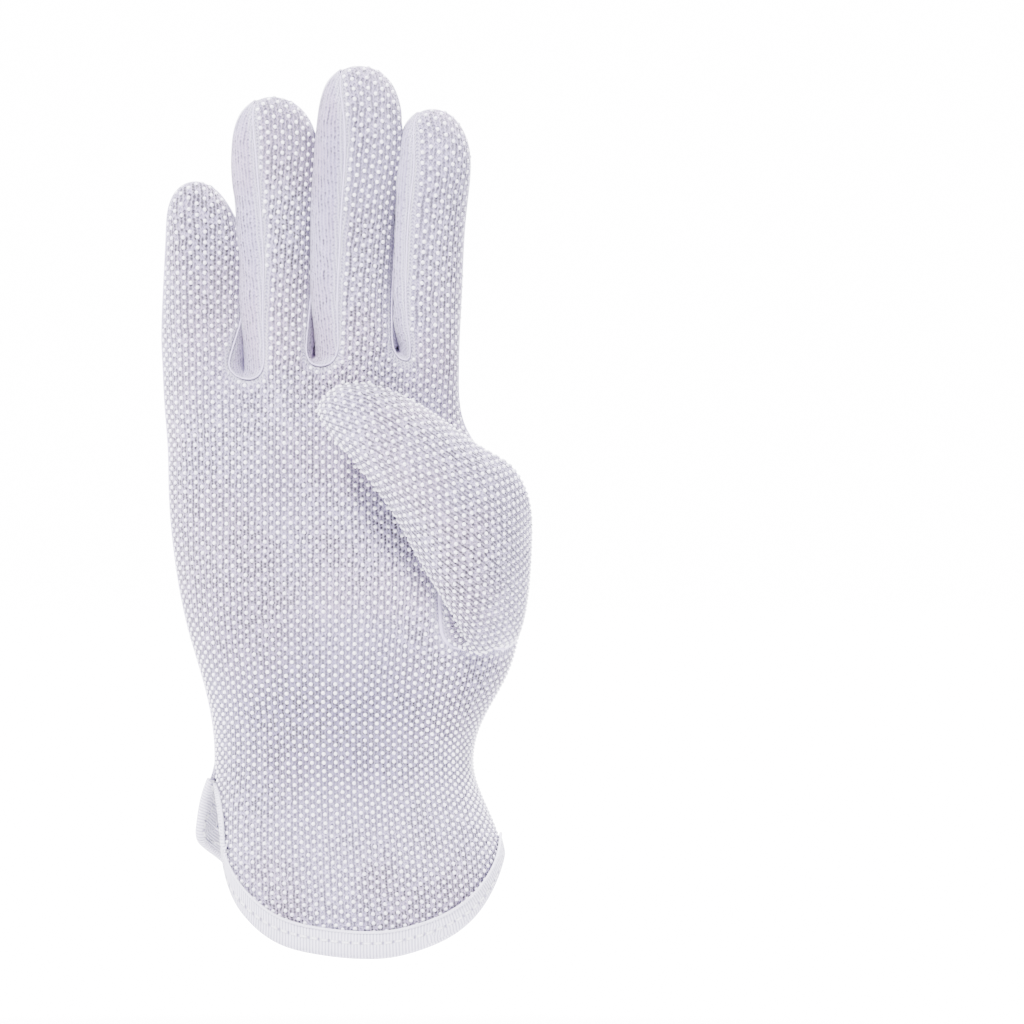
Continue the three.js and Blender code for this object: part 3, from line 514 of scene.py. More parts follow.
class Shader:
    """A short way to write one material's nodes."""

    def __init__(self, name):
        self.material = bpy.data.materials.new(name)
        self.material.use_nodes = True
        self.nodes = self.material.node_tree.nodes
        self.links = self.material.node_tree.links
        self.surface = self.nodes["Principled BSDF"]

    def put(self, socket, value):
        if isinstance(value, bpy.types.NodeSocket):
            self.links.new(value, socket)
        else:
            socket.default_value = value

    def math(self, operation, first, second=0.0, third=0.0):
        node = self.nodes.new("ShaderNodeMath")
        node.operation = operation
        for socket, value in zip(node.inputs, (first, second, third)):
            self.put(socket, value)
        return node.outputs[0]

    def smooth(self, value, low, high, to_low=0.0, to_high=1.0):
        node = self.nodes.new("ShaderNodeMapRange")
        node.interpolation_type = "SMOOTHSTEP"
        for socket, number in zip(node.inputs, (value, low, high, to_low, to_high)):
            self.put(socket, number)
        return node.outputs[0]

    def mix(self, factor, first, second):
        node = self.nodes.new("ShaderNodeMix")
        node.data_type = "RGBA"
        self.put(node.inputs[0], factor)
        self.put(node.inputs[6], first)
        self.put(node.inputs[7], second)
        return node.outputs[2]

    def noise(self, vector, scale, detail=2.0, roughness=0.5):
        node = self.nodes.new("ShaderNodeTexNoise")
        self.put(node.inputs["Vector"], vector)
        node.inputs["Scale"].default_value = scale
        node.inputs["Detail"].default_value = detail
        node.inputs["Roughness"].default_value = roughness
        return node.outputs[0]

    def kept(self, name):
        """A number kept on the mesh."""
        node = self.nodes.new("ShaderNodeAttribute")
        node.attribute_name = name
        return node.outputs["Fac"]

    def chance(self, first, second):
        """A fixed random number for each pair of whole numbers."""
        pair = self.nodes.new("ShaderNodeCombineXYZ")
        self.put(pair.inputs[0], self.math("FLOOR", first))
        self.put(pair.inputs[1], self.math("FLOOR", second))
        node = self.nodes.new("ShaderNodeTexWhiteNoise")
        self.put(node.inputs["Vector"], pair.outputs[0])
        return node.outputs["Value"]

    def place(self, output):
        node = self.nodes.new("ShaderNodeTexCoord")
        return node.outputs[output]

    def split(self, vector):
        node = self.nodes.new("ShaderNodeSeparateXYZ")
        self.put(node.inputs[0], vector)
        return node.outputs

    def bump(self, height, distance):
        node = self.nodes.new("ShaderNodeBump")
        node.inputs["Strength"].default_value = 1.0
        node.inputs["Distance"].default_value = distance
        self.put(node.inputs["Height"], height)
        self.put(self.surface.inputs["Normal"], node.outputs[0])

    def cotton(self):
        """Dull, with the soft bloom of short fibres."""
        for socket, value in (("Roughness", 0.9), ("Specular IOR Level", 0.25),
                              ("Sheen Weight", 0.25), ("Sheen Roughness", 0.5)):
            self.surface.inputs[socket].default_value = value


# %% Jersey


SEAM_ROW = 1.7        # mm from a finger's seam to the row of stitches beside it
SEAM_STITCH = 1.1     # mm from the middle of a stitch to its end
WRIST_SHADE_BAND = (0.066, 0.040)       # m: height of a band of painted shade across the wrist, where the elastic sits, and half its reach
WRIST_SHADE_SPREAD = (-0.008, 0.052)  # m: the x of its middle, and half its width


def make_jersey(name, wale, course, hole, openness, loop_height, drawn, stitched, colours):
    """Knitted cotton. The wale and the course are a loop's width and height, in mm; hole is how wide
    and how high its gap is; openness is the share of the loops whose gap shows. Drawn is how strongly
    painted shade darkens a band across the wrist, where the elastic sits, and stitched is how clear
    the row beside a seam is."""
    shader = Shader(name)
    u, v, _ = shader.split(shader.place("UV"))
    here = shader.place("Object")
    room = shader.kept("room")
    light, shade, dark, blush = colours

    # columns of loops, each column half a loop higher than the last
    sway = shader.noise(shader.place("UV"), 0.22, 1.0)
    column = shader.math("DIVIDE", shader.math("MULTIPLY_ADD", sway, 1.2, u), wale)
    odd = shader.math("MULTIPLY", shader.math("PINGPONG", shader.math("FLOOR", column), 1.0), 0.5)
    row = shader.math("ADD", shader.math("DIVIDE", shader.math("MULTIPLY_ADD", sway, 1.6, v), course), odd)
    chance = shader.chance(column, row)
    x = shader.math("SUBTRACT", shader.math("FRACT", column), 0.5)
    y = shader.math("SUBTRACT", shader.math("FRACT", row), 0.5)

    # the gap in the middle of a loop, its darkness painted shade: not in every loop, and not beside a seam
    wide, high = hole
    apart = shader.math("SQRT", shader.math(
        "ADD", shader.math("POWER", shader.math("DIVIDE", x, wide / wale), 2.0),
        shader.math("POWER", shader.math("DIVIDE", y, high / course), 2.0)))
    patch = shader.smooth(shader.noise(here, 30.0, 2.0, 0.6), 0.34, 0.62)
    shown = shader.smooth(chance, 1.0 - openness, 1.0 - openness + 0.5)
    inland = shader.smooth(room, 1.2, 3.0)
    gap = shader.math("MULTIPLY", shader.smooth(apart, 1.25, 0.55),
                      shader.math("MULTIPLY", shader.math("MULTIPLY", shown, inland),
                                  shader.math("MULTIPLY_ADD", patch, 0.45, 0.4)))

    # the yarn of a loop, its two legs slanting from the middle
    loop = shader.smooth(shader.math("ABSOLUTE", x), 0.1, 0.5)
    slope = shader.math("MULTIPLY_ADD", shader.math("ABSOLUTE", x), 1.3, row)
    leg = shader.math("ABSOLUTE", shader.math("SUBTRACT", shader.math("FRACT", slope), 0.5))
    yarn = shader.math("MULTIPLY_ADD", loop, 0.5, shader.smooth(leg, 0.5, 0.1, 0.0, 0.5))

    # colours: cotton with a faint blush, uneven loop by loop, and lightened beside a seam as a painted
    # highlight
    body = shader.mix(shader.smooth(shader.noise(here, 34.0, 2.0), 0.42, 0.64), light, blush)
    body = shader.mix(shader.math("MULTIPLY", chance, 0.3), body, shade)
    body = shader.mix(shader.smooth(shader.noise(here, 16.0, 1.0), 0.45, 0.7, 0.0, 0.3), body, shade)
    # painted highlight: the cloth is lightened beside a seam
    body = shader.mix(shader.smooth(room, 2.2, 0.6, 0.0, 0.6), body, PALE_COTTON_AND_HIGHLIGHT)
    # painted shade: the furrows between the yarns take the shade colour
    knit = shader.mix(shader.math("MULTIPLY_ADD", yarn, 0.9, 0.1), shade, body)

    # painted shade: a band across the wrist, where the elastic sits, is darkened; and the row of stitches
    # beside a seam
    east, _, up = shader.split(here)
    above = shader.math("ABSOLUTE", shader.math("SUBTRACT", up, WRIST_SHADE_BAND[0]))
    aside = shader.math("ABSOLUTE", shader.math("SUBTRACT", east, WRIST_SHADE_SPREAD[0]))
    wrist_shade = shader.math("MULTIPLY", shader.smooth(above, WRIST_SHADE_BAND[1], 0.004),
                           shader.smooth(aside, WRIST_SHADE_SPREAD[1], 0.010, 0.25, 1.0))
    knit = shader.mix(shader.math("MULTIPLY", wrist_shade, drawn), knit, shade)
    # the stitches beside a seam are dashes in the dark gap colour: painted shade in the needle holes
    lane = shader.smooth(shader.math("ABSOLUTE", shader.math("SUBTRACT", room, SEAM_ROW)), 0.4, 0.15)
    dip = shader.math("MULTIPLY", lane, shader.smooth(shader.math("PINGPONG", v, SEAM_STITCH), 0.32, 0.1))
    knit = shader.mix(shader.math("MULTIPLY", dip, stitched), knit, dark)
    # painted shade: the open gaps take the dark colour
    shader.put(shader.surface.inputs["Base Color"], shader.mix(gap, knit, dark))

    fuzz = shader.noise(shader.place("UV"), 5.0, 3.0)
    relief = shader.math("MULTIPLY_ADD", fuzz, 0.5, shader.math("MULTIPLY_ADD", gap, -2.0, yarn))
    shader.bump(relief, loop_height * MM)
    shader.cotton()
    return shader.material


COTTON = (0.515, 0.45, 0.68, 1.0)
BLUSH = (0.50, 0.395, 0.57, 1.0)
# the shade colour: painted shade in the knit furrows, the rib grooves and the wrist band, also mixed in at
# random for uneven tone
FURROW_SHADE = (0.165, 0.14, 0.28, 1.0)
# the dark colour: painted shade in the knit's open gaps and needle holes
GAP_SHADE = (0.02, 0.012, 0.025, 1.0)
# a pale cotton for white thread, rib tops and points, and the painted highlight beside a seam
PALE_COTTON_AND_HIGHLIGHT = (0.66, 0.635, 0.77, 1.0)
JERSEY = (COTTON, FURROW_SHADE, GAP_SHADE, BLUSH)
dotted_jersey = make_jersey(
    "dotted_jersey_cotton", wale=1.0, course=0.95, hole=(0.32, 0.44), openness=0.9,
    loop_height=0.55, drawn=0.8, stitched=0.0, colours=JERSEY)
plain_jersey = make_jersey(
    "plain_jersey_cotton", wale=1.05, course=0.85, hole=(0.22, 0.32), openness=0.6,
    loop_height=0.35, drawn=0.25, stitched=0.6, colours=JERSEY)
point_cotton = make_jersey(
    "point_cotton", wale=0.8, course=1.2, hole=(0.12, 0.2), openness=0.1,
    loop_height=0.2, drawn=0.0, stitched=0.0, colours=(PALE_COTTON_AND_HIGHLIGHT, COTTON, GAP_SHADE, PALE_COTTON_AND_HIGHLIGHT))

# %% [markdown]
# ## The binding's ribs
#
# The binding is a finely ribbed tape held by one row of stitches. The ribs could be modelled, but there
# are hundreds of them, each finer than a pixel, so stripes across the straight map give them, as bumps
# and as painted shade in the grooves between them.

# %% Binding
STITCH_INSET = 3.0  # mm from the binding's cord to its row of stitches
BINDING_THREAD = (0.72, 0.70, 0.80, 1.0)


def make_binding(name):
    """Folded strip: fine ribs across it and a row of stitches, with painted shade in the rib grooves and
    the stitch holes.
    """
    shader = Shader(name)
    u, _, _ = shader.split(shader.place("UV"))
    here = shader.place("Object")
    wander = shader.math("MULTIPLY_ADD", shader.noise(here, 60.0), 0.5, u)
    rib = shader.math("PINGPONG", wander, 0.45)
    ribs = shader.smooth(rib, 0.0, 0.35)
    lane = shader.math("ABSOLUTE", shader.math("SUBTRACT", shader.kept("room"), STITCH_INSET))
    dash = shader.math("PINGPONG", u, 1.5)
    thread = shader.math("MULTIPLY", shader.smooth(lane, 0.45, 0.25), shader.smooth(dash, 0.45, 0.65))
    hole = shader.math("MULTIPLY", shader.smooth(lane, 0.5, 0.25), shader.smooth(dash, 0.4, 0.15))
    # painted shade: the grooves between the ribs are darker than the rib tops
    base = shader.mix(shader.math("MULTIPLY_ADD", ribs, 0.65, 0.35), FURROW_SHADE, PALE_COTTON_AND_HIGHLIGHT)
    # painted shade in the stitch holes
    base = shader.mix(shader.math("MULTIPLY", hole, 0.75), base, FURROW_SHADE)
    shader.put(shader.surface.inputs["Base Color"], shader.mix(thread, base, BINDING_THREAD))
    relief = shader.math("MULTIPLY_ADD", thread, 1.4, shader.math("MULTIPLY", ribs, 0.6))
    relief = shader.math("MULTIPLY_ADD", hole, -1.2, relief)
    shader.bump(relief, 0.22 * MM)
    shader.cotton()
    return shader.material


binding_cotton = make_binding("binding_cotton")

# %% Each panel's material
for name, material, slot in [
    ("palm_cloth", dotted_jersey, "dotted_jersey"),
    ("thumb_cloth", dotted_jersey, "dotted_jersey"),
    ("back_cloth", plain_jersey, "plain_jersey"),
    ("little_ring_strip", plain_jersey, "plain_jersey"),
    ("ring_middle_strip", plain_jersey, "plain_jersey"),
    ("middle_index_strip", plain_jersey, "plain_jersey"),
    ("point_index", point_cotton, "plain_jersey"),
    ("point_middle", point_cotton, "plain_jersey"),
    ("point_ring", point_cotton, "plain_jersey"),
    ("cuff_strip", binding_cotton, "binding"),
]:
    cloth[name].data.materials.append(material)

# %% [markdown]
# ## Grip dots
#
# Small soft beads are printed on the palm and the thumb in staggered columns. They stand nearly half a
# millimetre proud. One bead is modelled and copied to every place of a lattice that is drawn on the
# flat cloth, so the columns run up each finger and round its sides as the real print does.

# %% One bead
BEAD_RADIUS = 0.6   # mm
BEAD_HEIGHT = 0.46  # mm above the cloth
BEAD_ROOT = 0.12    # share of the height that is sunk in the cloth


def model_bead(wide, long, high):
    """One low dome, closed below, as corner and face arrays: half width, half length and height, mm."""
    bpy.ops.object.select_all(action="DESELECT")
    bpy.ops.mesh.primitive_uv_sphere_add(segments=7, ring_count=4, radius=MM)
    bead = bpy.context.object
    open_mesh(bead)
    bpy.ops.mesh.bisect(plane_co=(0, 0, -BEAD_ROOT * MM), plane_no=(0, 0, 1),
                        use_fill=True, clear_inner=True)
    bpy.ops.mesh.select_all(action="SELECT")
    bpy.ops.transform.resize(value=(wide, long, high), center_override=(0, 0, 0))
    bpy.ops.object.mode_set(mode="OBJECT")
    corners = np.array([v.co for v in bead.data.vertices])
    faces = [list(p.vertices) for p in bead.data.polygons]
    bpy.data.objects.remove(bead)
    return corners, faces


bead = model_bead(BEAD_RADIUS, BEAD_RADIUS, BEAD_HEIGHT)
print("bead:", len(bead[0]), "corners,", len(bead[1]), "faces")

# %% Where the beads go
DOT_COLUMN = 1.8     # mm between columns of dots
DOT_STEP = 2.61      # mm between dots in one column, the next column standing half a step higher
DOT_EDGE_ROOM = 0.8  # mm of bare cloth beside a seam


def places_on_cloth(piece, column, step, room):
    """Points and normals on a panel's outer face at each place of the lattice."""
    mesh = piece.data
    mesh.calc_loop_triangles()
    flat = np.zeros(len(mesh.loops) * 2)
    mesh.uv_layers["cloth"].data.foreach_get("uv", flat)
    flat = flat.reshape(-1, 2)
    corner = np.zeros(len(mesh.loops), int)
    mesh.loops.foreach_get("vertex_index", corner)
    places = np.array([v.co for v in mesh.vertices])
    normals = np.array([v.normal for v in mesh.vertices])
    shell = np.zeros(len(mesh.polygons), int)
    mesh.attributes["shell"].data.foreach_get("value", shell)
    seam_room = np.zeros(len(mesh.vertices))
    mesh.attributes["room"].data.foreach_get("value", seam_room)
    outer = [t for t in mesh.loop_triangles if shell[t.polygon_index] == 0]
    found = {}
    for triangle in outer:
        loops = list(triangle.loops)
        a, b, c = flat[loops]
        area = (b[0] - a[0]) * (c[1] - a[1]) - (b[1] - a[1]) * (c[0] - a[0])
        if abs(area) < 1e-9:
            continue
        low = np.minimum(np.minimum(a, b), c)
        high = np.maximum(np.maximum(a, b), c)
        for i in range(math.ceil(low[0] / column), math.floor(high[0] / column) + 1):
            lift = 0.5 * (i % 2)
            for j in range(math.ceil(low[1] / step - lift), math.floor(high[1] / step - lift) + 1):
                if (i, j) in found:
                    continue
                x, y = i * column, (j + lift) * step
                wb = ((x - a[0]) * (c[1] - a[1]) - (y - a[1]) * (c[0] - a[0])) / area
                wc = ((b[0] - a[0]) * (y - a[1]) - (b[1] - a[1]) * (x - a[0])) / area
                wa = 1 - wb - wc
                if min(wa, wb, wc) < -1e-6:
                    continue
                va, vb, vc = corner[loops]
                point = wa * places[va] + wb * places[vb] + wc * places[vc]
                if wa * seam_room[va] + wb * seam_room[vb] + wc * seam_room[vc] < room:
                    continue
                out = wa * normals[va] + wb * normals[vb] + wc * normals[vc]
                found[(i, j)] = (point, out / np.linalg.norm(out))
    keys = sorted(found)
    return (np.array([found[k][0] for k in keys]), np.array([found[k][1] for k in keys]))


def copies(name, shape, points, normals, ways=None):
    """One mesh with a copy of a small shape at each point, its Z out of the cloth and its Y along
    the way given, or upward."""
    if ways is None:
        ways = np.where(np.abs(normals[:, 2:3]) < 0.9, [[0.0, 0.0, 1.0]], [[1.0, 0.0, 0.0]])
    side = np.cross(ways, normals)
    side /= np.linalg.norm(side, axis=1)[:, None]
    up = np.cross(normals, side)
    shape_corners, shape_faces = shape
    x, y, z = shape_corners.T
    corners = (points[:, None] + side[:, None] * x[None, :, None] + up[:, None] * y[None, :, None]
               + normals[:, None] * z[None, :, None]).reshape(-1, 3)
    faces = [[v + n * len(shape_corners) for v in face]
             for n in range(len(points)) for face in shape_faces]
    mesh = bpy.data.meshes.new(name)
    mesh.from_pydata(corners.tolist(), [], faces)
    group = bpy.data.objects.new(name, mesh)
    bpy.context.scene.collection.objects.link(group)
    pick(group)
    bpy.ops.object.shade_smooth()
    print(name, len(points), "copies,", len(faces), "faces")
    return group


# %% The beads of the palm and the thumb


def make_vinyl(name):
    """Soft whitish vinyl, smoother than the cotton."""
    shader = Shader(name)
    here = shader.place("Object")
    colour = shader.mix(shader.smooth(shader.noise(here, 60.0), 0.4, 0.6),
                        (0.80, 0.78, 0.88, 1.0), (0.70, 0.675, 0.80, 1.0))
    shader.put(shader.surface.inputs["Base Color"], colour)
    shader.surface.inputs["Roughness"].default_value = 0.5
    shader.bump(shader.noise(here, 2500.0), 0.02 * MM)
    return shader.material


dot_vinyl = make_vinyl("dot_vinyl")
for name, panel in [("palm_dots", "palm_cloth"), ("thumb_dots", "thumb_cloth")]:
    points, normals = places_on_cloth(cloth[panel], DOT_COLUMN, DOT_STEP, DOT_EDGE_ROOM)
    cloth[name] = copies(name, bead, points, normals)
    cloth[name].data.materials.append(dot_vinyl)
    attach(cloth[name], "root")

# %% [markdown]
# ## Seam rolls
#
# Where two panels are sewn together the cloth's turned-in edges make a thin roll that stands a little
# proud. On the back of the fingers it is a bright welt. Each roll is a round tube drawn along the middle
# between the two panels' edges, so it also closes the fine gap that the model leaves there.

# %% Follow a seam


def chains(pairs):
    """Joins pairs of corners into lines."""
    links = {}
    for a, b in pairs:
        links.setdefault(a, []).append(b)
        links.setdefault(b, []).append(a)
    lines = []
    while links:
        start = min(links, key=lambda v: (len(links[v]), v))
        line = [start]
        while links.get(line[-1]):
            after = links[line[-1]][0]
            for a, b in ((line[-1], after), (after, line[-1])):
                links[a].remove(b)
            line.append(after)
        links = {v: others for v, others in links.items() if others}
        lines.append(line)
    return lines


def rims_tree(pieces):
    """A search tree over the corners of the pieces' edges."""
    return tree_of([piece.data.vertices[v].co.copy() for piece in pieces
                    for v in sorted({v for key in rim_of(piece.data) for v in key})])


def seam_lines(piece, neighbours, reach=2.2):
    """Lines of points half way between a panel's edge and the edges of its neighbours."""
    places = [v.co.copy() for v in piece.data.vertices]
    tree = rims_tree(neighbours)
    rim = rim_of(piece.data)
    near = {v: tree.find(places[v]) for key in rim for v in key}
    kept = [key for key in rim if all(near[v][2] < reach * MM for v in key)]
    return [[(places[v] + near[v][0]) / 2 for v in line] for line in chains(kept) if len(line) > 4]


def far_lines(piece, neighbours, room):
    """Lines along a strip's edge where it lies at least room mm from the edges of its neighbours."""
    places = [v.co.copy() for v in piece.data.vertices]
    tree = rims_tree(neighbours)
    kept = [key for key in rim_of(piece.data) if all(tree.find(places[v])[2] > room * MM for v in key)]
    return [[places[v] for v in line] for line in chains(kept) if len(line) > 8]


def roll(name, lines, radius, colour):
    """A soft round tube along each line, thinner toward its ends."""
    curve = bpy.data.curves.new(name, "CURVE")
    curve.dimensions = "3D"
    curve.bevel_depth = radius * MM
    curve.bevel_resolution = 1
    curve.use_fill_caps = True
    for line in lines:
        spline = curve.splines.new("POLY")
        spline.points.add(len(line) - 1)
        for k, place in enumerate(line):
            around = [line[min(max(k + d, 0), len(line) - 1)] for d in (-2, -1, 0, 1, 2)]
            spline.points[k].co = (*(sum(around, Vector()) / 5), 1.0)
            spline.points[k].radius = min(1.0, 0.3 + 0.14 * min(k, len(line) - 1 - k))
    piece = bpy.data.objects.new(name, curve)
    bpy.context.scene.collection.objects.link(piece)
    pick(piece)
    bpy.ops.object.convert(target="MESH")
    piece = bpy.context.object
    bpy.ops.object.shade_smooth()
    piece.data.materials.clear()
    piece.data.materials.append(colour)
    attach(piece, "root")
    print(name, len(lines), "lines,", len(piece.data.polygons), "faces")


# %% The seam material and the rolls


def make_thread(name, colour, bumps):
    """Plain sewn cotton, bright where the light meets it."""
    shader = Shader(name)
    here = shader.place("Object")
    shader.put(shader.surface.inputs["Base Color"],
               shader.mix(shader.noise(here, 900.0), tuple(0.8 * c for c in colour[:3]) + (1.0,), colour))
    shader.bump(shader.noise(here, bumps, 1.0), 0.15 * MM)
    shader.cotton()
    return shader.material


WELT = 0.75          # mm: half the thickness of each roll
PALM_SEAM = 0.25
SIDE_SEAM = 0.3
BINDING_CORD = 0.42
THUMB_REACH = 3.5    # mm: the widest gap that the thumb's seam closes
CORD_ROOM = 3.0      # mm from the panels' edges to the binding's inner edge
seam_cotton = make_thread("seam_cotton", PALE_COTTON_AND_HIGHLIGHT, 1100.0)
soft_seam = make_thread("soft_seam_cotton", COTTON, 1400.0)
strips = [cloth[name] for name in ("little_ring_strip", "ring_middle_strip", "middle_index_strip")]
back_seams = seam_lines(cloth["back_cloth"], strips)
roll("back_welts", back_seams, WELT, seam_cotton)
roll("palm_seams", seam_lines(cloth["palm_cloth"], strips), PALM_SEAM, soft_seam)
roll("thumb_seam", seam_lines(cloth["thumb_cloth"], [cloth["palm_cloth"]], THUMB_REACH), WELT, soft_seam)
roll("side_seams", seam_lines(cloth["back_cloth"], [cloth["palm_cloth"]]), SIDE_SEAM, soft_seam)
cord = far_lines(cloth["cuff_strip"], [cloth["palm_cloth"], cloth["back_cloth"]], CORD_ROOM)
roll("binding_cord", cord, BINDING_CORD, seam_cotton)
tree = tree_of([place for line in cord for place in line])
cloth["cuff_strip"].data.attributes["room"].data.foreach_set(
    "value", [tree.find(v.co)[2] / MM for v in cloth["cuff_strip"].data.vertices])

# %% [markdown]
# ## Stitches
#
# The raised points are held by a row of small stitches on each side, and the elastic by a zigzag of
# longer ones. At this size a stitch is a short thread between two needle holes, and the holes' shade is
# painted: a dark low dome stands in each. Threads and painted hole shadows are low domes, copied along
# lines that are drawn on the back as seen from behind and then dropped onto the cloth.

# %% Drop a line onto the cloth
THREAD = model_bead(0.26, 1.0, 0.3)    # half width, half length and height, mm
# a dark dome that paints the shadow in a needle hole
HOLE_SHADOW = model_bead(0.30, 0.36, 0.12)
back_skin = BVHTree.FromPolygons([v.co for v in cloth["back_cloth"].data.vertices],
                                 [p.vertices for p in cloth["back_cloth"].data.polygons])


def drop(x, z):
    """The point and normal on the back's outer face at a place seen from behind, in mm."""
    point, normal, _, _ = back_skin.ray_cast(Vector((x, 100, z)) * MM, Vector((0, -1, 0)))
    return (point, normal) if point else None


def line_of_stitches(corners, step, shift=0.0):
    """Places every step along a line of (x, z) corners that is moved sideways by shift, in mm."""
    flat = np.array(corners, float)
    legs = np.hypot(*np.diff(flat, axis=0).T)
    reach = np.concatenate([[0], np.cumsum(legs)])
    out = []
    for s in np.arange(step / 2, reach[-1], step):
        k = min(np.searchsorted(reach, s, side="right") - 1, len(legs) - 1)
        way = (flat[k + 1] - flat[k]) / legs[k]
        x, z = flat[k] + way * (s - reach[k])
        found = drop(x + way[1] * shift, z - way[0] * shift)
        if found:
            out.append((found[0], found[1], Vector((way[0], 0, way[1]))))
    return out


def sew(name, shape, stitches, material):
    """Copies a small shape to each stitch."""
    points, normals, ways = (np.array([list(part[i]) for part in stitches]) for i in range(3))
    piece = copies(name, shape, points, normals, ways)
    piece.data.materials.append(material)
    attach(piece, "root")


# %% The stitches of the back
POINT_WAYS = [
    [(8.2, 166), (4, 155), (-2.4, 140), (-6.9, 124), (-10.8, 104.6), (-13.6, 79)],
    [(-16, 167), (-18.4, 159), (-21, 146), (-24.4, 127), (-26.1, 104.6), (-25.3, 84)],
    [(-36, 163), (-37.2, 155), (-37.8, 143), (-38.9, 124), (-38.4, 104.6), (-35.6, 82)],
]
POINT_STITCH = 2.0   # mm from one stitch to the next beside a point
POINT_SIDE = 2.15    # mm from a point's middle to its stitches
ZIGZAG_STEP = 3.6    # mm along the elastic for one whole zigzag
ZIGZAG_HALF = 1.7    # mm above and below the elastic
ZIGZAG_REACH = (-44, 30)   # mm: from x to x
HEAD = 1.35          # mm: half the thickness of a point's upper end
# painted shadow: the needle holes are dark domes, not openings
hole_shade = make_thread("stitch_hole_shadow", (0.06, 0.05, 0.09, 1.0), 1500.0)
hole_shadows = [stitch for way in POINT_WAYS for side in (-POINT_SIDE, POINT_SIDE)
         for stitch in line_of_stitches(way, POINT_STITCH, side)]
zigzag = [(x, ELASTIC + ZIGZAG_HALF * (-1) ** k)
          for k, x in enumerate(np.arange(*ZIGZAG_REACH, ZIGZAG_STEP / 2))]
threads = []
for (x0, z0), (x1, z1) in zip(zigzag, zigzag[1:]):
    ends = drop(x0, z0)
    middle = drop((x0 + x1) / 2, (z0 + z1) / 2)
    if ends and middle:
        hole_shadows.append((ends[0], ends[1], Vector((0, 0, 1))))
        threads.append((middle[0], middle[1], Vector((x1 - x0, 0, z1 - z0)).normalized()))
heads = []
for way in POINT_WAYS:
    x0, z0 = way[0]
    crotch = min((place for line in back_seams for place in line
                  if abs(place.x / MM - x0) < 9 and place.z / MM > z0), key=lambda place: place.z)
    x1, z1 = crotch.x / MM, crotch.z / MM
    steps = [drop(x0 + (x1 - x0) * t, z0 - 2 + (z1 - z0 + 2) * t) for t in np.linspace(0, 1, 7)]
    heads.append([point + normal * 0.3 * MM for point, normal in (step for step in steps if step)])
roll("point_heads", [line for line in heads if len(line) > 2], HEAD, seam_cotton)
sew("stitch_hole_shadows", HOLE_SHADOW, hole_shadows, hole_shade)
sew("elastic_stitches", THREAD, threads, seam_cotton)

# %% [markdown]
# ## Floor, light and camera
#
# The glove is seen square on from the palm side with a long lens, against white. It stands over a wide
# pale floor whose paper glows more the farther it lies from the glove, a painted light that only the
# camera sees, so that it runs into the white behind. A soft light hangs high before the glove and another
# behind it, a weaker one stands at each side, and a pale sky fills the rest. The sky is brighter for the
# camera than for the glove, so the cloth keeps its shade.

# %% Floor
FLOOR_DROP = 40    # mm from the hem down to the floor
FLOOR_RADIUS = 12  # m
PAPER_GLOW = 16.0  # what the far paper sends to the camera
bpy.ops.object.select_all(action="DESELECT")
bpy.ops.mesh.primitive_circle_add(vertices=96, radius=FLOOR_RADIUS, fill_type="NGON",
                                  location=(0, 0, -FLOOR_DROP * MM))
floor = bpy.context.object
floor.name = "floor"
open_mesh(floor)
bpy.ops.mesh.inset(thickness=FLOOR_RADIUS * 0.6)
bpy.ops.object.mode_set(mode="OBJECT")
bpy.ops.object.transform_apply(location=True, rotation=True, scale=True)
paper = Shader("studio_paper")
spot = paper.place("Object")
px, py, _ = paper.split(spot)
far = paper.math("SQRT", paper.math("ADD", paper.math("POWER", px, 2.0), paper.math("POWER", py, 2.0)))
paper.put(paper.surface.inputs["Base Color"],
          paper.mix(paper.noise(spot, 3.0), (0.95, 0.95, 0.96, 1.0), (0.98, 0.98, 0.98, 1.0)))
paper.surface.inputs["Roughness"].default_value = 0.95
paper.surface.inputs["Emission Color"].default_value = (1, 1, 1, 1)
# painted light: the far paper glows, and only for the camera
seen = paper.nodes.new("ShaderNodeLightPath").outputs["Is Camera Ray"]
paper.put(paper.surface.inputs["Emission Strength"],
          paper.math("MULTIPLY", paper.smooth(far, 0.12, 0.7, 0.0, PAPER_GLOW), seen))
floor.data.materials.append(paper.material)

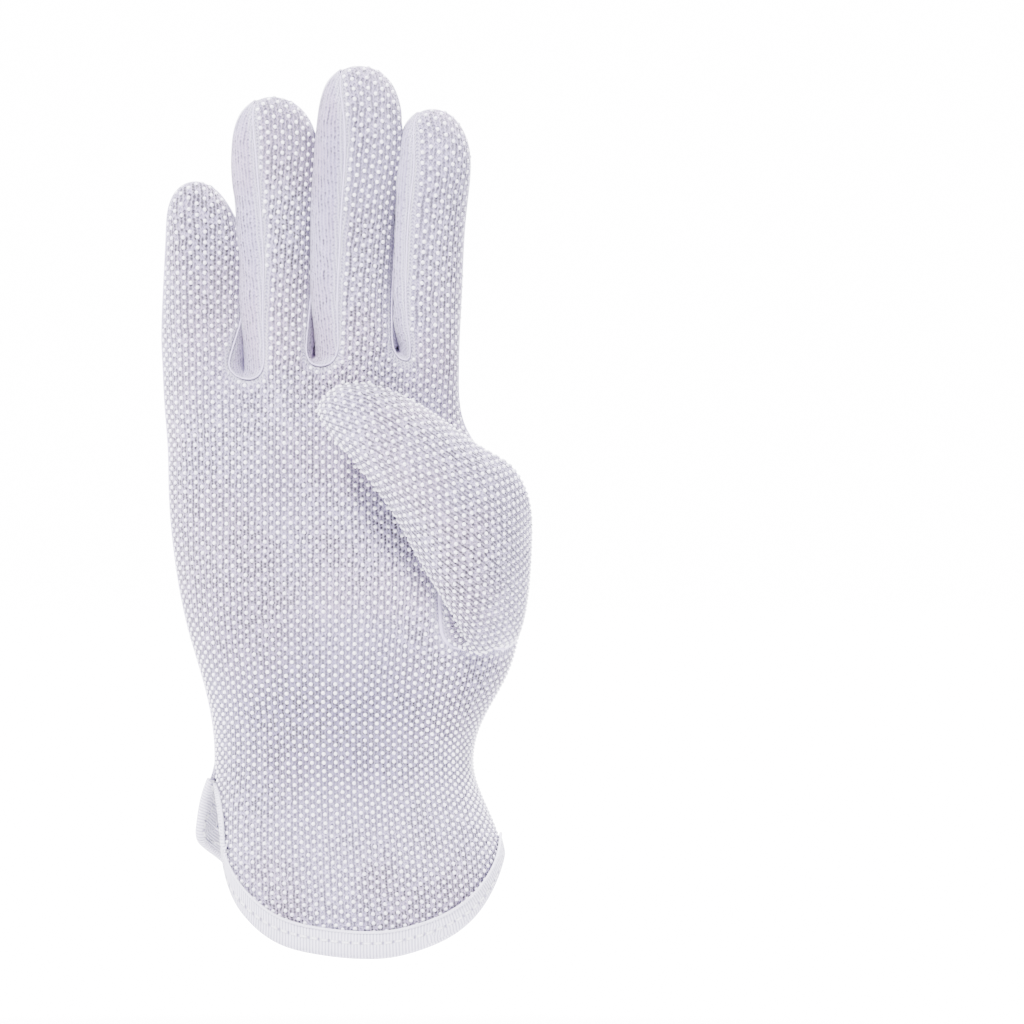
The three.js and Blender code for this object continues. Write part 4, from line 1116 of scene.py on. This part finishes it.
# %% Sky
SKY_ON_CLOTH = 0.45
SKY_IN_PICTURE = 16.0
world = bpy.data.worlds.new("studio")
bpy.context.scene.world = world
world.use_nodes = True
sky = world.node_tree.nodes
soft = sky["Background"]
soft.inputs["Color"].default_value = (0.90, 0.92, 1.0, 1.0)
soft.inputs["Strength"].default_value = SKY_ON_CLOTH
white = sky.new("ShaderNodeBackground")
white.inputs["Color"].default_value = (1.0, 1.0, 1.0, 1.0)
white.inputs["Strength"].default_value = SKY_IN_PICTURE
either = sky.new("ShaderNodeMixShader")
world.node_tree.links.new(sky.new("ShaderNodeLightPath").outputs["Is Camera Ray"], either.inputs[0])
world.node_tree.links.new(soft.outputs[0], either.inputs[1])
world.node_tree.links.new(white.outputs[0], either.inputs[2])
world.node_tree.links.new(either.outputs[0], sky["World Output"].inputs["Surface"])


# %% Lights
MIDDLE = (0.0, 0.0, 0.125)   # m: the middle of the glove


def soft_light(name, place, size, power, colour):
    """A square soft box that faces the middle of the glove: size in m, power in W."""
    light = bpy.data.lights.new(name, "AREA")
    light.shape = "SQUARE"
    light.size = size
    light.energy = power
    light.color = colour
    lamp = bpy.data.objects.new(name, light)
    bpy.context.scene.collection.objects.link(lamp)
    lamp.location = place
    lamp.rotation_mode = "QUATERNION"
    lamp.rotation_quaternion = (Vector(MIDDLE) - Vector(place)).to_track_quat("-Z", "Y")


WARM = (1.0, 0.985, 0.97)
COOL = (0.95, 0.96, 1.0)
soft_light("key_light", (-0.55, -0.90, 1.60), 0.30, 200.0, WARM)
soft_light("back_key_light", (0.55, 0.90, 1.60), 0.30, 200.0, WARM)
soft_light("left_light", (-1.3, 0.0, 0.2), 0.7, 22.0, COOL)
soft_light("right_light", (1.3, 0.0, 0.2), 0.7, 22.0, COOL)

# %% Camera
PIXEL = 0.2803       # mm of the glove across one pixel of the picture
LENS = 300.0         # mm
SENSOR = 36.0        # mm
PICTURE = 1024       # pixels
FRONT = -8.0         # mm: the depth at which the picture's scale holds
AIM = (41.8, 124.7)  # mm: x and z at the middle of the picture
camera_data = bpy.data.cameras.new("camera")
camera_data.lens = LENS
camera_data.sensor_width = SENSOR
camera = bpy.data.objects.new("camera", camera_data)
bpy.context.scene.collection.objects.link(camera)
bpy.context.scene.camera = camera
distance = PIXEL * PICTURE * LENS / SENSOR
camera.location = (AIM[0] * MM, (FRONT - distance) * MM, AIM[1] * MM)
camera.rotation_euler = (math.radians(90), 0, 0)
camera_data.clip_start, camera_data.clip_end = 0.01, 40
print("camera stands", round(distance), "mm in front of the glove")
